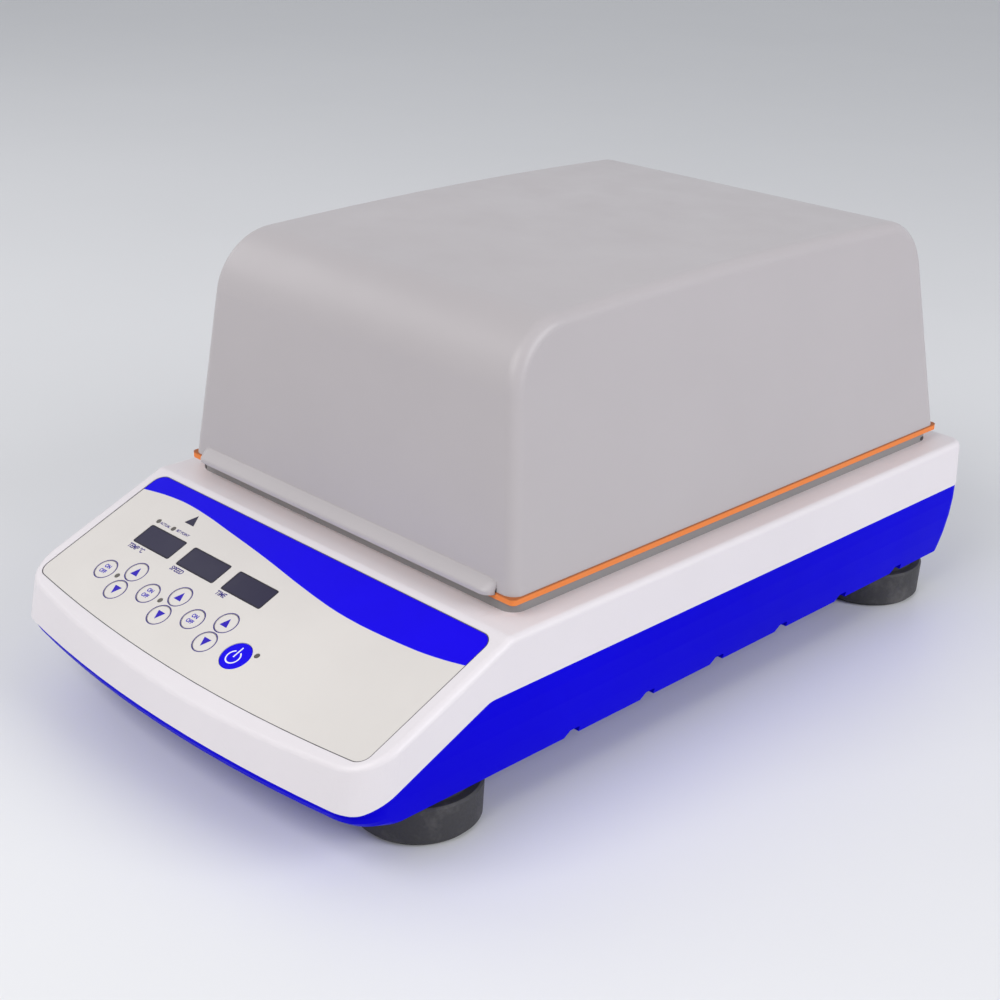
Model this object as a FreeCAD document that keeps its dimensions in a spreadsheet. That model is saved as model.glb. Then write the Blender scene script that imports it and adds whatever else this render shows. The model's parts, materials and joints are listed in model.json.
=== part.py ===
import FreeCAD, Part
import math
import os
import Sketcher
from FreeCAD import Placement, Rotation, Vector

# Incubating microplate shaker: a bench box with a sloping keypad, a hinged insulated lid,
# a heated chamber, and a tray that an eccentric crank carries round a small orbit.
# Frame: +X to the right seen from the front, +Y to the back, +Z up.
# Origin: centre of the footprint, on the bench surface under the feet. Millimetres.

doc = FreeCAD.newDocument("MicroplateShaker")
sheet = doc.addObject("Spreadsheet::Sheet", "Sizes")

# Driving sizes

SIZES = {
    # housing
    "body_width": 250.0,
    "body_depth": 427.1,
    "front_bow": 10.8,
    "front_corner": 19.0,
    "rear_corner": 8.0,
    "top_level": 86.5,
    "panel_run": 91.0,
    "panel_angle": 22.8,
    "ridge_round": 5.0,
    "edge_round": 3.0,
    "housing_draft": 1.5,
    "front_lean": 9.0,
    "wall": 3.0,
    "side_seam_level": 62.6,
    "front_seam_level": 34.9,
    "seam_bend_run": 78.8,
    "seam_round": 12.0,
    "seam_step": 1.0,
    "pan_level": 23.7,
    "pan_taper": 4.5,
    "pan_front_taper": 13.0,
    "pan_rear_taper": 4.0,
    # vents along the bottom edges of the pan
    "notch_length": 9.0,
    "notch_height": 3.0,
    "notch_pitch": 49.2,
    "notch_rear_run": 48.5,
    # feet
    "foot_radius": 27.6,
    "foot_rim": 28.2,
    "foot_rim_level": 18.4,
    "foot_neck": 23.5,
    "foot_side_in": 33.8,
    "foot_front_run": 69.2,
    "foot_rear_run": 30.5,
    # chamber
    "rim_width": 218.6,
    "rim_front_run": 105.0,
    "rim_rear_run": 14.3,
    "rim_height": 5.6,
    "rim_corner": 7.0,
    "rim_seat": 3.3,
    "tub_wall": 2.0,
    "tub_gap": 0.3,
    "tub_depth": 14.5,
    "tub_floor": 2.5,
    # lid
    "gasket_overhang": 2.5,
    "gasket_thick": 2.9,
    "gasket_corner": 2.5,
    "gasket_band": 10.0,
    "lid_inset": 0.6,
    "lid_height": 112.7,
    "lid_side_lean": 6.9,
    "lid_front_lean": 5.7,
    "lid_back_lean": 8.4,
    "lid_front_round": 31.0,
    "lid_back_round": 28.0,
    "lid_edge_round": 6.0,
    "lid_crown": 3.4,
    "lid_wall": 3.0,
    "lip_width": 202.0,
    "lip_reach": 5.0,
    "lip_height": 5.0,
    "lip_drop": 0.9,
    "lip_thick": 2.0,
    # lid hinges
    "hinge_spacing": 150.0,
    "hinge_width": 28.0,
    "hinge_axis_up": 6.0,
    "hinge_axis_in": 5.5,
    "knuckle_radius": 4.0,
    "hinge_pin_radius": 1.5,
    "hinge_ear": 6.0,
    "hinge_seat_depth": 4.5,
    # tray
    "tray_width": 190.0,
    "tray_end_gap": 14.4,
    "tray_thick": 2.0,
    "tray_edge": 8.0,
    "tray_corner": 6.0,
    "tray_lift": 6.0,
    "mat_thick": 1.6,
    "orbit_radius": 1.5,
    "hub_radius": 17.0,
    "hub_length": 12.0,
    "orbit_clearance": 3.5,
    "idler_side": 72.0,
    "idler_run": 105.0,
    "idler_boss_radius": 8.0,
    "idler_pin_radius": 3.0,
    "idler_journal_radius": 4.0,
    "idler_disc_radius": 8.0,
    # drive
    "fit_gap": 0.05,
    "shaft_radius": 5.0,
    "crank_pin_radius": 4.0,
    "crank_disc_radius": 15.0,
    "crank_disc_thick": 4.0,
    "counterweight_radius": 36.0,
    "counterweight_thick": 6.0,
    "plate_width": 190.0,
    "plate_length": 240.0,
    "plate_thick": 3.0,
    "plate_level": 40.0,
    "bearing_outer": 13.0,
    "bearing_height": 6.0,
    "pulley_radius": 30.0,
    "motor_pulley_radius": 8.0,
    "pulley_height": 8.0,
    "pulley_level": 30.0,
    "belt_thick": 1.2,
    "belt_width": 6.0,
    "belt_gap": 0.3,
    "motor_offset": 88.0,
    "motor_radius": 28.0,
    "motor_height": 23.0,
    "motor_shaft_radius": 3.0,
    # control panel
    "overlay_back": 3.6,
    "overlay_length": 83.5,
    "overlay_half_back": 116.4,
    "overlay_half_front": 116.9,
    "overlay_bow": 7.3,
    "overlay_corner": 6.0,
    "overlay_thick": 0.7,
    "overlay_recess": 0.9,
    "overlay_gap": 0.3,
    "window_width": 28.0,
    "window_height": 12.2,
    "window_run": 30.5,
    "window_pitch": 34.4,
    "window_first": -74.7,
    "key_radius": 5.4,
    "key_gap": 0.2,
    "key_thick": 1.6,
    "key_travel": 0.5,
    "key_stem": 2.6,
    "key_stem_depth": 5.0,
    "key_edge": 0.25,
    "power_key_radius": 7.5,
    "power_key_x": 21.3,
    "power_key_run": 67.1,
    "on_key_run": 62.3,
    "up_key_run": 56.0,
    "down_key_run": 68.7,
    "on_key_shift": -9.8,
    "arrow_key_shift": 7.0,
    "lens_radius": 1.2,
    "window_thick": 1.9,
    "window_corner": 1.0,
    "lamp_x": -71.1,
    "lamp_run": 18.6,
    "lamp_size": 3.4,
    "lamp_squat": 0.8,
    "outer_lens_shift": -13.1,
    "inner_lens_shift": -1.2,
    "upper_lens_run": 27.3,
    "key_lens_shift": -0.3,
    "power_lens_x": 30.2,
    "power_lens_run": 62.2,
    "panel_fit": 0.2,
    # display board behind the panel
    "board_depth": 12.0,
    "board_thick": 1.6,
    "board_left": 98.0,
    "board_right": 42.0,
    "board_back": 12.0,
    "board_front": 80.0,
    "board_corner": 2.0,
    "board_post_radius": 3.0,
    "board_post_inset": 4.0,
    "digit_inset": 0.8,
    "switch_half": 3.0,
    # screws
    "small_screw_radius": 1.5,
    "small_head_radius": 3.0,
    "small_head_height": 1.8,
    "screw_grip": 7.0,
    "screw_spare": 1.0,
    "case_boss_side": 113.0,
    "case_boss_radius": 5.0,
    "case_boss_front_run": 45.0,
    "case_boss_middle_run": 150.0,
    "case_boss_rear_in": 62.1,
    "front_split": 44.0,
    "case_screw_radius": 1.9,
    "case_screw_grip": 11.0,
    "case_head_radius": 3.5,
    "case_head_height": 4.0,
    "foot_recess": 14.0,
    "foot_bore": 3.0,
    "foot_soft": 2.0,
    "foot_screw_head": 3.5,
    # pan details
    "pillar_inset": 7.0,
    "pillar_radius": 6.0,
    "notch_bite": 14.0,
    "notch_round": 0.8,
    "vent_width": 4.0,
    "vent_length": 12.0,
    "vent_pitch": 16.0,
    "vent_side": 62.0,
    # mains inlet
    "inlet_width": 58.0,
    "inlet_height": 29.0,
    "inlet_x": -70.0,
    "inlet_level": 43.0,
    "inlet_seat_depth": 12.0,
    "inlet_recess": 2.5,
    "inlet_ledge": 4.0,
    "inlet_depth": 24.0,
    "socket_shift": 9.0,
    "socket_half": 12.0,
    "socket_rise": 8.3,
    "socket_slant": 4.6,
    "socket_depth": 17.0,
    "pin_pitch": 7.0,
    "pin_half": 1.0,
    "pin_rise": 2.0,
    "drawer_shift": 15.0,
    "drawer_half": 7.0,
    "drawer_rise": 9.0,
    "drawer_depth": 19.5,
    "drawer_slot": 0.8,
    # hinge details
    "hinge_side_gap": 0.3,
    "hinge_front_reach": 5.2,
    "knuckle_gap": 0.4,
    "leaf_thick": 2.5,
    "leaf_height": 24.0,
    "leaf_lift": 2.0,
    "leaf_brace": 0.7,
    # lid details
    "lid_shoulder": 62.0,
    "lid_inner_round": 4.0,
    "lid_flange": 9.0,
    "lip_flare": 0.21,
    # chamber details
    "heater_thick": 1.0,
    "heater_margin": 1.5,
    "probe_inset": 4.4,
    "probe_collar": 3.0,
    "probe_radius": 1.6,
    "probe_step": 1.4,
    "probe_height": 16.0,
    "mat_gap": 0.6,
    # drive details
    "idler_boss_length": 9.0,
    "idler_post_radius": 9.0,
    "idler_foot": 4.0,
    "idler_lift": 2.0,
    "idler_gap": 0.3,
    "idler_disc_thick": 3.0,
    "bore_roof": 1.0,
    "tray_bearing_radius": 11.0,
    "tray_bearing_height": 7.0,
    "block_flange": 26.0,
    "block_flange_thick": 3.0,
    "block_radius": 18.0,
    "block_height": 14.0,
    "block_slant": 2.0,
    "block_lip": 1.0,
    "shaft_clearance": 2.0,
    "shaft_tail": 0.5,
    "pulley_rim": 3.0,
    "pulley_hub": 4.0,
    "pulley_hole": 4.5,
    "counterweight_edge": -2.0,
    "motor_spigot": 5.0,
    "motor_soft": 3.0,
    "motor_well": 3.0,
    "plate_corner": 10.0,
    "plate_hole": 16.0,
    "plate_hole_side": 52.0,
    "plate_hole_run": 58.0,
    # electrics
    "standoff": 4.0,
    "control_reach": 100.0,
    "control_run": 55.0,
    "control_width": 92.0,
    "control_length": 66.0,
    "capacitor_radius": 6.0,
    "capacitor_height": 15.0,
    "supply_left": 8.0,
    "supply_width": 90.0,
    "supply_length": 62.0,
    "supply_height": 26.0,
    "slot_depth": 1.0,
}

for row, (alias, value) in enumerate(SIZES.items(), start=1):
    sheet.set("A%d" % row, alias)
    sheet.set("B%d" % row, str(value))
    sheet.setAlias("B%d" % row, alias)
doc.recompute()


class Term:
    """A size that knows its value and the formula which the document keeps for it."""

    def __init__(self, value, text):
        self.value = value
        self.text = text

    def __float__(self):
        return float(self.value)

    def __neg__(self):
        return Term(-self.value, "(-%s)" % self.text)

    def __add__(self, other):
        other = term(other)
        return Term(self.value + other.value, "(%s + %s)" % (self.text, other.text))

    def __sub__(self, other):
        other = term(other)
        return Term(self.value - other.value, "(%s - %s)" % (self.text, other.text))

    def __mul__(self, other):
        other = term(other)
        return Term(self.value * other.value, "(%s * %s)" % (self.text, other.text))

    def __truediv__(self, other):
        other = term(other)
        return Term(self.value / other.value, "(%s / %s)" % (self.text, other.text))

    __radd__ = __add__
    __rmul__ = __mul__

    def __rsub__(self, other):
        return term(other) - self

    def __rtruediv__(self, other):
        return term(other) / self


def term(number):
    """A plain number as a Term, or a Term as it is."""
    if isinstance(number, Term):
        return number
    return Term(float(number), repr(float(number)))


def cell(alias):
    """The spreadsheet cell of that name."""
    return Term(float(sheet.get(alias)), "Sizes.%s" % alias)


def tangent(angle):
    return Term(math.tan(math.radians(float(angle))), "tan(%s)" % angle.text)


def cosine(angle):
    return Term(math.cos(math.radians(float(angle))), "cos(%s)" % angle.text)


def sine(angle):
    return Term(math.sin(math.radians(float(angle))), "sin(%s)" % angle.text)


class Cells:
    """The spreadsheet's cells by name, as Terms."""

    def __getattr__(self, alias):
        return cell(alias)


S = Cells()

# Places worked out from the driving sizes

FRONT = -S.body_depth / 2
REAR = S.body_depth / 2
HALF = S.body_width / 2
RIDGE = FRONT + S.panel_run
SLOPE = tangent(S.panel_angle)
PAN_INNER = S.pan_level + S.wall

RIM_HALF = S.rim_width / 2
RIM_FRONT = FRONT + S.rim_front_run
RIM_REAR = REAR - S.rim_rear_run
RIM_TOP = S.top_level + S.rim_height
CENTRE = (RIM_FRONT + RIM_REAR) / 2
TUB_HALF = RIM_HALF - S.rim_seat
TUB_TOP_OF_FLOOR = S.top_level - S.tub_depth
TUB_UNDER = TUB_TOP_OF_FLOOR - S.tub_floor

GASKET_HALF = RIM_HALF + S.gasket_overhang
GASKET_FRONT = RIM_FRONT - S.gasket_overhang
GASKET_REAR = RIM_REAR + S.gasket_overhang
LID_BASE = RIM_TOP + S.gasket_thick
LID_HALF = GASKET_HALF - S.lid_inset
LID_FRONT = GASKET_FRONT + S.lid_inset
LID_REAR = GASKET_REAR - S.lid_inset

HINGE_Y = REAR - S.hinge_axis_in
HINGE_Z = S.top_level + S.hinge_axis_up
HINGE_SEAT = S.top_level - S.hinge_seat_depth

TRAY_RUN = (RIM_REAR - RIM_FRONT) / 2 - S.tray_end_gap
TRAY_UNDER = TUB_TOP_OF_FLOOR + S.tray_lift
TRAY_TOP = TRAY_UNDER + S.tray_thick
PLATE_TOP = S.plate_level + S.plate_thick
BEARING_TOP = PLATE_TOP + S.block_height
CRANK_DISC = BEARING_TOP + S.block_lip
CRANK_DISC_TOP = CRANK_DISC + S.crank_disc_thick
IDLER_TOP = BEARING_TOP + S.idler_lift
TRAY_BEARING_TOP = TRAY_UNDER - S.bore_roof - S.screw_spare
MOTOR_Y = CENTRE - S.motor_offset

PANEL = Placement(Vector(0, RIDGE, S.top_level), Rotation(Vector(1, 0, 0), float(S.panel_angle)))


# Building helpers

def bind(item, prop, size):
    """Bind one property of a document object to a size."""
    item.setExpression(prop, term(size).text)


def place(item, x, y, z):
    """Bind the position of a document object."""
    bind(item, "Placement.Base.x", x)
    bind(item, "Placement.Base.y", y)
    bind(item, "Placement.Base.z", z)
    return item


def label(item, name):
    item.Label = name
    return item


def box(name, x0, x1, y0, y1, z0, z1):
    """A box between two corners."""
    item = doc.addObject("Part::Box", name)
    bind(item, "Length", term(x1) - x0)
    bind(item, "Width", term(y1) - y0)
    bind(item, "Height", term(z1) - z0)
    return place(item, x0, y0, z0)


def cylinder(name, radius, x, y, z0, z1):
    """An upright cylinder."""
    item = doc.addObject("Part::Cylinder", name)
    bind(item, "Radius", radius)
    bind(item, "Height", term(z1) - z0)
    return place(item, x, y, z0)


def fuse(name, items):
    item = doc.addObject("Part::MultiFuse", name)
    item.Shapes = items
    return label(item, name)


def cut(name, base, tools):
    item = doc.addObject("Part::Cut", name)
    item.Base = base
    item.Tool = tools[0] if len(tools) == 1 else fuse(name + "_tools", tools)
    return label(item, name)


def group(name, items):
    """Several separate pieces of one kind, kept together."""
    item = doc.addObject("Part::Compound", name)
    item.Links = items
    return label(item, name)


def on_slope(item, x=0, run=0):
    """Lay an object on the sloping panel, at a distance down the slope."""
    item.Placement = PANEL
    bind(item, "Placement.Rotation.Angle", S.panel_angle)
    return place(item, x, RIDGE - run * cosine(S.panel_angle),
                 S.top_level - run * sine(S.panel_angle))


def body(name):
    return label(doc.addObject("PartDesign::Body", name), name)


def sketch(owner, role, level=None):
    """A sketch on one of the body's own origin planes, raised to a level."""
    plane = [item for item in owner.Origin.OriginFeatures if item.Role == role][0]
    item = owner.newObject("Sketcher::SketchObject", owner.Name + "_sketch")
    item.AttachmentSupport = (plane, [""])
    item.MapMode = "FlatFace"
    if level is not None:
        bind(item, "AttachmentOffset.Base.z", level)
    return item


def pin_point(item, geometry, point, x, y):
    """Hold one sketch point at a distance from the sketch's origin."""
    for kind, axis, size in (("DistanceX", -2, x), ("DistanceY", -1, y)):
        size = term(size)
        if abs(float(size)) < 1e-9:
            item.addConstraint(Sketcher.Constraint("PointOnObject", geometry, point, axis))
            continue
        index = item.addConstraint(
            Sketcher.Constraint(kind, -1, 1, geometry, point, float(size)))
        item.setExpression("Constraints[%d]" % index, size.text)


def circle(item, radius, x=0, y=0):
    """A sketched circle of a given radius about a given point."""
    index = item.addGeometry(Part.Circle(Vector(x, y, 0), Vector(0, 0, 1), float(radius)))
    pin_point(item, index, 3, x, y)
    number = item.addConstraint(Sketcher.Constraint("Radius", index, float(radius)))
    item.setExpression("Constraints[%d]" % number, term(radius).text)
    return index


def polygon(item, points):
    """A sketched closed polygon whose corners are all held."""
    count = len(points)
    spots = [Vector(x, y, 0) for x, y in points]
    first = item.GeometryCount
    for index in range(count):
        item.addGeometry(Part.LineSegment(spots[index], spots[(index + 1) % count]))
    for index in range(count):
        following = first + (index + 1) % count
        item.addConstraint(Sketcher.Constraint("Coincident", first + index, 2, following, 1))
    for index, (x, y) in enumerate(points):
        pin_point(item, first + index, 1, x, y)


def rounded_rectangle(item, x0, x1, y0, y1, radius):
    """A sketched rectangle with four equal round corners."""
    a, b, c, d, r = float(x0), float(x1), float(y0), float(y1), float(radius)
    first = item.GeometryCount
    ends = [((a + r, c), (b - r, c)), ((b, c + r), (b, d - r)),
            ((b - r, d), (a + r, d)), ((a, d - r), (a, c + r))]
    hubs = [(b - r, c + r), (b - r, d - r), (a + r, d - r), (a + r, c + r)]
    for turn, ((start, end), hub) in enumerate(zip(ends, hubs)):
        item.addGeometry(Part.LineSegment(Vector(*start, 0), Vector(*end, 0)))
        arc = Part.Circle(Vector(*hub, 0), Vector(0, 0, 1), r)
        angle = math.radians(90 * (turn - 1))
        item.addGeometry(Part.ArcOfCircle(arc, angle, angle + math.pi / 2))
    for turn in range(4):
        line = first + 2 * turn
        arc = line + 1
        following = first + (2 * turn + 2) % 8
        item.addConstraint(Sketcher.Constraint("Tangent", line, 2, arc, 1))
        item.addConstraint(Sketcher.Constraint("Tangent", arc, 2, following, 1))
        item.addConstraint(Sketcher.Constraint(("Horizontal", "Vertical")[turn % 2], line))
        if turn:
            item.addConstraint(Sketcher.Constraint("Equal", first + 1, arc))
    index = item.addConstraint(Sketcher.Constraint("Radius", first + 1, r))
    item.setExpression("Constraints[%d]" % index, term(radius).text)
    for kind, line, size in (("DistanceY", 0, y0), ("DistanceX", 2, x1),
                             ("DistanceY", 4, y1), ("DistanceX", 6, x0)):
        index = item.addConstraint(
            Sketcher.Constraint(kind, -1, 1, first + line, 1, float(size)))
        item.setExpression("Constraints[%d]" % index, term(size).text)


def pad(owner, profile, length):
    item = owner.newObject("PartDesign::Pad", owner.Name + "_pad")
    item.Profile = profile
    bind(item, "Length", length)
    return item


def pocket(owner, profile, length):
    """A pocket that cuts down from its sketch."""
    item = owner.newObject("PartDesign::Pocket", owner.Name + "_pocket")
    item.Profile = profile
    bind(item, "Length", length)
    return item


def revolve(owner, profile):
    item = owner.newObject("PartDesign::Revolution", owner.Name + "_turn")
    item.Profile = profile
    item.ReferenceAxis = (profile, ["V_Axis"])
    item.Angle = 360
    return item


def turned(name, points, x, y):
    """A body turned about an upright axis from (radius, height) points."""
    owner = body(name)
    profile = sketch(owner, "XZ_Plane")
    polygon(profile, points)
    revolve(owner, profile)
    place(owner, x, y, 0)
    return owner


def feature(name, shape, placement=None):
    """A sub-part whose shape is built in code from the sheet's sizes."""
    item = doc.addObject("Part::Feature", name)
    item.Shape = shape
    item.Label = name
    if placement is not None:
        item.Placement = placement
    return item


def rounded_wire(points, radii, spot):
    """A closed wire through 2D points with an arc at each corner that has a radius."""
    count = len(points)
    flat = [Vector(float(a), float(b), 0) for a, b in points]
    starts = []
    for index in range(count):
        corner = flat[index]
        before = (flat[index - 1] - corner).normalize()
        after = (flat[(index + 1) % count] - corner).normalize()
        radius = float(radii[index])
        if radius <= 0:
            starts.append((corner, None, corner))
            continue
        half = before.getAngle(after) / 2
        reach = radius / math.tan(half)
        middle = (before + after).normalize()
        hub = corner + middle * (radius / math.sin(half))
        starts.append((corner + before * reach, hub - middle * radius, corner + after * reach))
    edges = []
    for index in range(count):
        begin, bend, end = starts[index]
        if bend is not None:
            edges.append(Part.Arc(spot(begin), spot(bend), spot(end)).toShape())
        following = starts[(index + 1) % count][0]
        if (following - end).Length > 1e-6:
            edges.append(Part.makeLine(spot(end), spot(following)))
    return Part.Wire(edges)


def side_prism(points, radii, half):
    """A solid with a profile in the YZ plane, reaching the same way to both sides."""
    wire = rounded_wire(points, radii, lambda p: Vector(-float(half), p.x, p.y))
    return Part.Face(wire).extrude(Vector(2 * float(half), 0, 0))


def plan_prism(points, radii, low, high):
    """A solid with a profile in the XY plane between two levels."""
    wire = rounded_wire(points, radii, lambda p: Vector(p.x, p.y, float(low)))
    return Part.Face(wire).extrude(Vector(0, 0, float(high) - float(low)))


def rectangle(x0, x1, y0, y1):
    return [(x0, y0), (x1, y0), (x1, y1), (x0, y1)]


def solid_box(x0, x1, y0, y1, z0, z1):
    x0, x1, y0, y1, z0, z1 = (float(value) for value in (x0, x1, y0, y1, z0, z1))
    return Part.makeBox(x1 - x0, y1 - y0, z1 - z0, Vector(x0, y0, z0))


def solid_cylinder(radius, x, y, z0, z1):
    return Part.makeCylinder(float(radius), float(z1) - float(z0), Vector(x, y, z0))


def solid_rod(radius, x0, x1, y, z):
    """A cylinder that lies along X."""
    return Part.makeCylinder(float(radius), float(x1) - float(x0), Vector(x0, y, z),
                             Vector(1, 0, 0))


# Housing shells

def outline(half, front, rear, bow, front_radius, rear_radius, level):
    """Plan outline of the body: straight sides, bowed front, round corners."""
    half, front, rear, level = float(half), float(front), float(rear), float(level)
    bow_radius = (half * half + bow * bow) / (2 * bow)
    hub_y = front + bow_radius
    reach = bow_radius - front_radius
    corner_x = half - front_radius
    corner_y = hub_y - math.sqrt(reach * reach - corner_x * corner_x)
    lean = math.atan2(corner_x, hub_y - corner_y)

    def spot(x, y):
        return Vector(x, y, level)

    def on_corner(angle):
        return corner_x + front_radius * math.sin(angle), corner_y - front_radius * math.cos(angle)

    middle = on_corner((lean + math.pi / 2) / 2)
    start = on_corner(lean)
    inner = half - rear_radius
    turn = rear_radius * math.sqrt(0.5)
    edges = [
        Part.Arc(spot(-start[0], start[1]), spot(0, front), spot(*start)).toShape(),
        Part.Arc(spot(*start), spot(*middle), spot(half, corner_y)).toShape(),
        Part.makeLine(spot(half, corner_y), spot(half, rear - rear_radius)),
        Part.Arc(spot(half, rear - rear_radius), spot(inner + turn, rear - rear_radius + turn),
                 spot(inner, rear)).toShape(),
        Part.makeLine(spot(inner, rear), spot(-inner, rear)),
        Part.Arc(spot(-inner, rear), spot(-inner - turn, rear - rear_radius + turn),
                 spot(-half, rear - rear_radius)).toShape(),
        Part.makeLine(spot(-half, rear - rear_radius), spot(-half, corner_y)),
        Part.Arc(spot(-half, corner_y), spot(-middle[0], middle[1]),
                 spot(-start[0], start[1])).toShape(),
    ]
    return Part.Wire(edges)


def above_seam():
    """The space above the line where the white housing meets the blue pan."""
    bend = FRONT + S.seam_bend_run
    foot = bend - (S.side_seam_level - S.front_seam_level) / SLOPE
    far = 400
    points = [(-far, S.front_seam_level), (foot, S.front_seam_level),
              (bend, S.side_seam_level), (far, S.side_seam_level), (far, far), (-far, far)]
    radii = [0, S.seam_round, S.seam_round, 0, 0, 0]
    return side_prism(points, radii, far)


def upper_space(inset):
    """The space under the top face, ridge and sloping panel, lowered by an inset."""
    far = 400
    drop = float(inset) / math.cos(math.radians(float(S.panel_angle)))
    top = float(S.top_level) - inset
    # the ridge moves back as both faces move down, so that the wall stays even
    ridge = float(RIDGE) + (drop - inset) / float(SLOPE)
    points = [(-far, top - (float(far) + ridge) * float(SLOPE)), (ridge, top), (far, top),
              (far, -far), (-far, -far)]
    radii = [0, float(S.ridge_round) - min(inset, 3), 0, 0, 0]
    return side_prism(points, radii, far)


def housing_block(inset):
    """The white housing's outer form, or its hollow when an inset is given."""
    low = float(S.front_seam_level) - (float(S.wall) if inset else 0)
    high = float(S.top_level + S.wall)
    draft = float(S.housing_draft) / (high - float(S.front_seam_level))
    lean = float(S.front_lean) / (high - float(S.front_seam_level))
    wires = []
    for level in (low, high):
        shift = inset + draft * (level - float(S.front_seam_level))
        # the rear wall is at its full length where it meets the pan
        rear_shift = inset + draft * (level - float(S.side_seam_level))
        front_shift = shift + lean * (level - float(S.front_seam_level))
        wires.append(outline(HALF - shift, FRONT + front_shift, REAR - rear_shift,
                             float(S.front_bow), float(S.front_corner) - inset,
                             float(S.rear_corner) - inset, level))
    block = Part.makeLoft(wires, True, True)
    return block.common(upper_space(inset))


def top_edges(block):
    """The edges round the top and the sloping panel, without the ridge's own edges."""
    chosen = []
    slope = float(SLOPE)
    for edge in block.Edges:
        middle = edge.valueAt((edge.FirstParameter + edge.LastParameter) / 2)
        surface = min(float(S.top_level), float(S.top_level) - (float(RIDGE) - middle.y) * slope)
        if abs(middle.z - surface) > 0.6:
            continue
        if abs(middle.x) < 1 and abs(middle.y - float(RIDGE)) < 15:
            continue
        chosen.append(edge)
    return chosen


def overlay_points(grow):
    """Corners of the keypad overlay, grown by a gap."""
    back = -S.overlay_back + grow
    side_front = -(S.overlay_back + S.overlay_length - S.overlay_bow) - grow
    return [(-S.overlay_half_front - grow, side_front), (S.overlay_half_front + grow, side_front),
            (S.overlay_half_back + grow, back), (-S.overlay_half_back - grow, back)]


def overlay_sheet(grow, low, high):
    """The overlay's plate with its bowed front edge, in panel coordinates."""
    (left, side_front), (right, _), (back_right, back), (back_left, _) = overlay_points(grow)
    left, right, side_front = float(left), float(right), float(side_front)
    back, back_right, back_left = float(back), float(back_right), float(back_left)
    tip = -float(S.overlay_back + S.overlay_length) - float(grow)
    level = float(low)
    edges = [
        Part.Arc(Vector(left, side_front, level), Vector(0, tip, level),
                 Vector(right, side_front, level)).toShape(),
        Part.makeLine(Vector(right, side_front, level), Vector(back_right, back, level)),
        Part.makeLine(Vector(back_right, back, level), Vector(back_left, back, level)),
        Part.makeLine(Vector(back_left, back, level), Vector(left, side_front, level)),
    ]
    plate = Part.Face(Part.Wire(edges)).extrude(Vector(0, 0, float(high) - level))
    upright = [edge for edge in plate.Edges if abs(edge.tangentAt(edge.FirstParameter).z) > 0.9]
    return plate.makeFillet(float(S.overlay_corner) + float(grow), upright)


# Control panel layout: (x, distance down the slope) of each piece

def window_places():
    run = S.window_run + S.window_height / 2
    return [(S.window_first + S.window_pitch * index, run) for index in range(3)]


def key_places():
    """Name, x, distance down the slope and radius of each key."""
    keys = []
    for index, title in enumerate(("temperature", "speed", "time")):
        x = S.window_first + S.window_pitch * index
        keys.append(("key_%s_on" % title, x + S.on_key_shift, S.on_key_run, S.key_radius))
        keys.append(("key_%s_up" % title, x + S.arrow_key_shift, S.up_key_run, S.key_radius))
        keys.append(("key_%s_down" % title, x + S.arrow_key_shift, S.down_key_run, S.key_radius))
    keys.append(("key_power", S.power_key_x, S.power_key_run, S.power_key_radius))
    return keys


def lens_places():
    """The five round indicators: two over the first window, two by the keys, one for power."""
    first = S.window_first
    second = first + S.window_pitch
    return [(first + S.outer_lens_shift, S.upper_lens_run),
            (first + S.inner_lens_shift, S.upper_lens_run),
            (first + S.key_lens_shift, S.on_key_run), (second + S.key_lens_shift, S.on_key_run),
            (S.power_lens_x, S.power_lens_run)]


def lamp_points(grow):
    """The triangular lamp window, in panel coordinates."""
    size = S.lamp_size + grow
    base = -S.lamp_run - size * S.lamp_squat
    return [(S.lamp_x - size, base), (S.lamp_x + size, base), (S.lamp_x, size - S.lamp_run)]


OVERLAY_UNDER = -S.overlay_recess
OVERLAY_TOP = S.overlay_thick - S.overlay_recess
BOARD_UNDER = -S.board_depth
BOARD_TOP = S.board_thick - S.board_depth
SWITCH_TOP = -S.key_stem_depth - S.key_travel - S.key_edge
WINDOW_UNDER = OVERLAY_TOP - S.window_thick


def window_rectangle(x, run, grow):
    half_width = S.window_width / 2 + grow
    half_height = S.window_height / 2 + grow
    return rectangle(x - half_width, x + half_width, -run - half_height, half_height - run)


def panel_openings(low, high):
    """The prisms that open a panel layer for windows, keys, lenses and the lamp."""
    gap = S.key_gap
    cutters = []
    for x, run in window_places():
        cutters.append(plan_prism(window_rectangle(x, run, gap), [S.window_corner + gap] * 4,
                                  low, high))
    for _, x, run, radius in key_places():
        cutters.append(solid_cylinder(radius + gap, x, -run, low, high))
    for x, run in lens_places():
        cutters.append(solid_cylinder(S.lens_radius + gap, x, -run, low, high))
    cutters.append(plan_prism(lamp_points(gap), [0] * 3, low, high))
    return Part.makeCompound(cutters)


def on_panel(shape):
    """Move a shape from panel coordinates to its place on the sloping panel."""
    copy = shape.copy()
    copy.Placement = PANEL.multiply(copy.Placement)
    return copy


def board_posts():
    """Places of the posts that hold the display board, in panel coordinates."""
    inset = S.board_post_inset
    return [(x, y) for x in (inset - S.board_left, S.board_right - inset)
            for y in (-S.board_back - inset, inset - S.board_front)]


def case_boss_places():
    """Places of the screw bosses that join the housing to the pan, with the level they meet at."""
    runs = ((S.case_boss_front_run, S.front_split), (S.case_boss_middle_run, S.side_seam_level),
            (S.body_depth - S.case_boss_rear_in, S.side_seam_level))
    return [(side * S.case_boss_side, FRONT + run, split) for run, split in runs
            for side in (-1, 1)]


def hinge_places():
    half = S.hinge_spacing / 2
    return (("left", -half), ("right", half))


# Housing and pan

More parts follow.
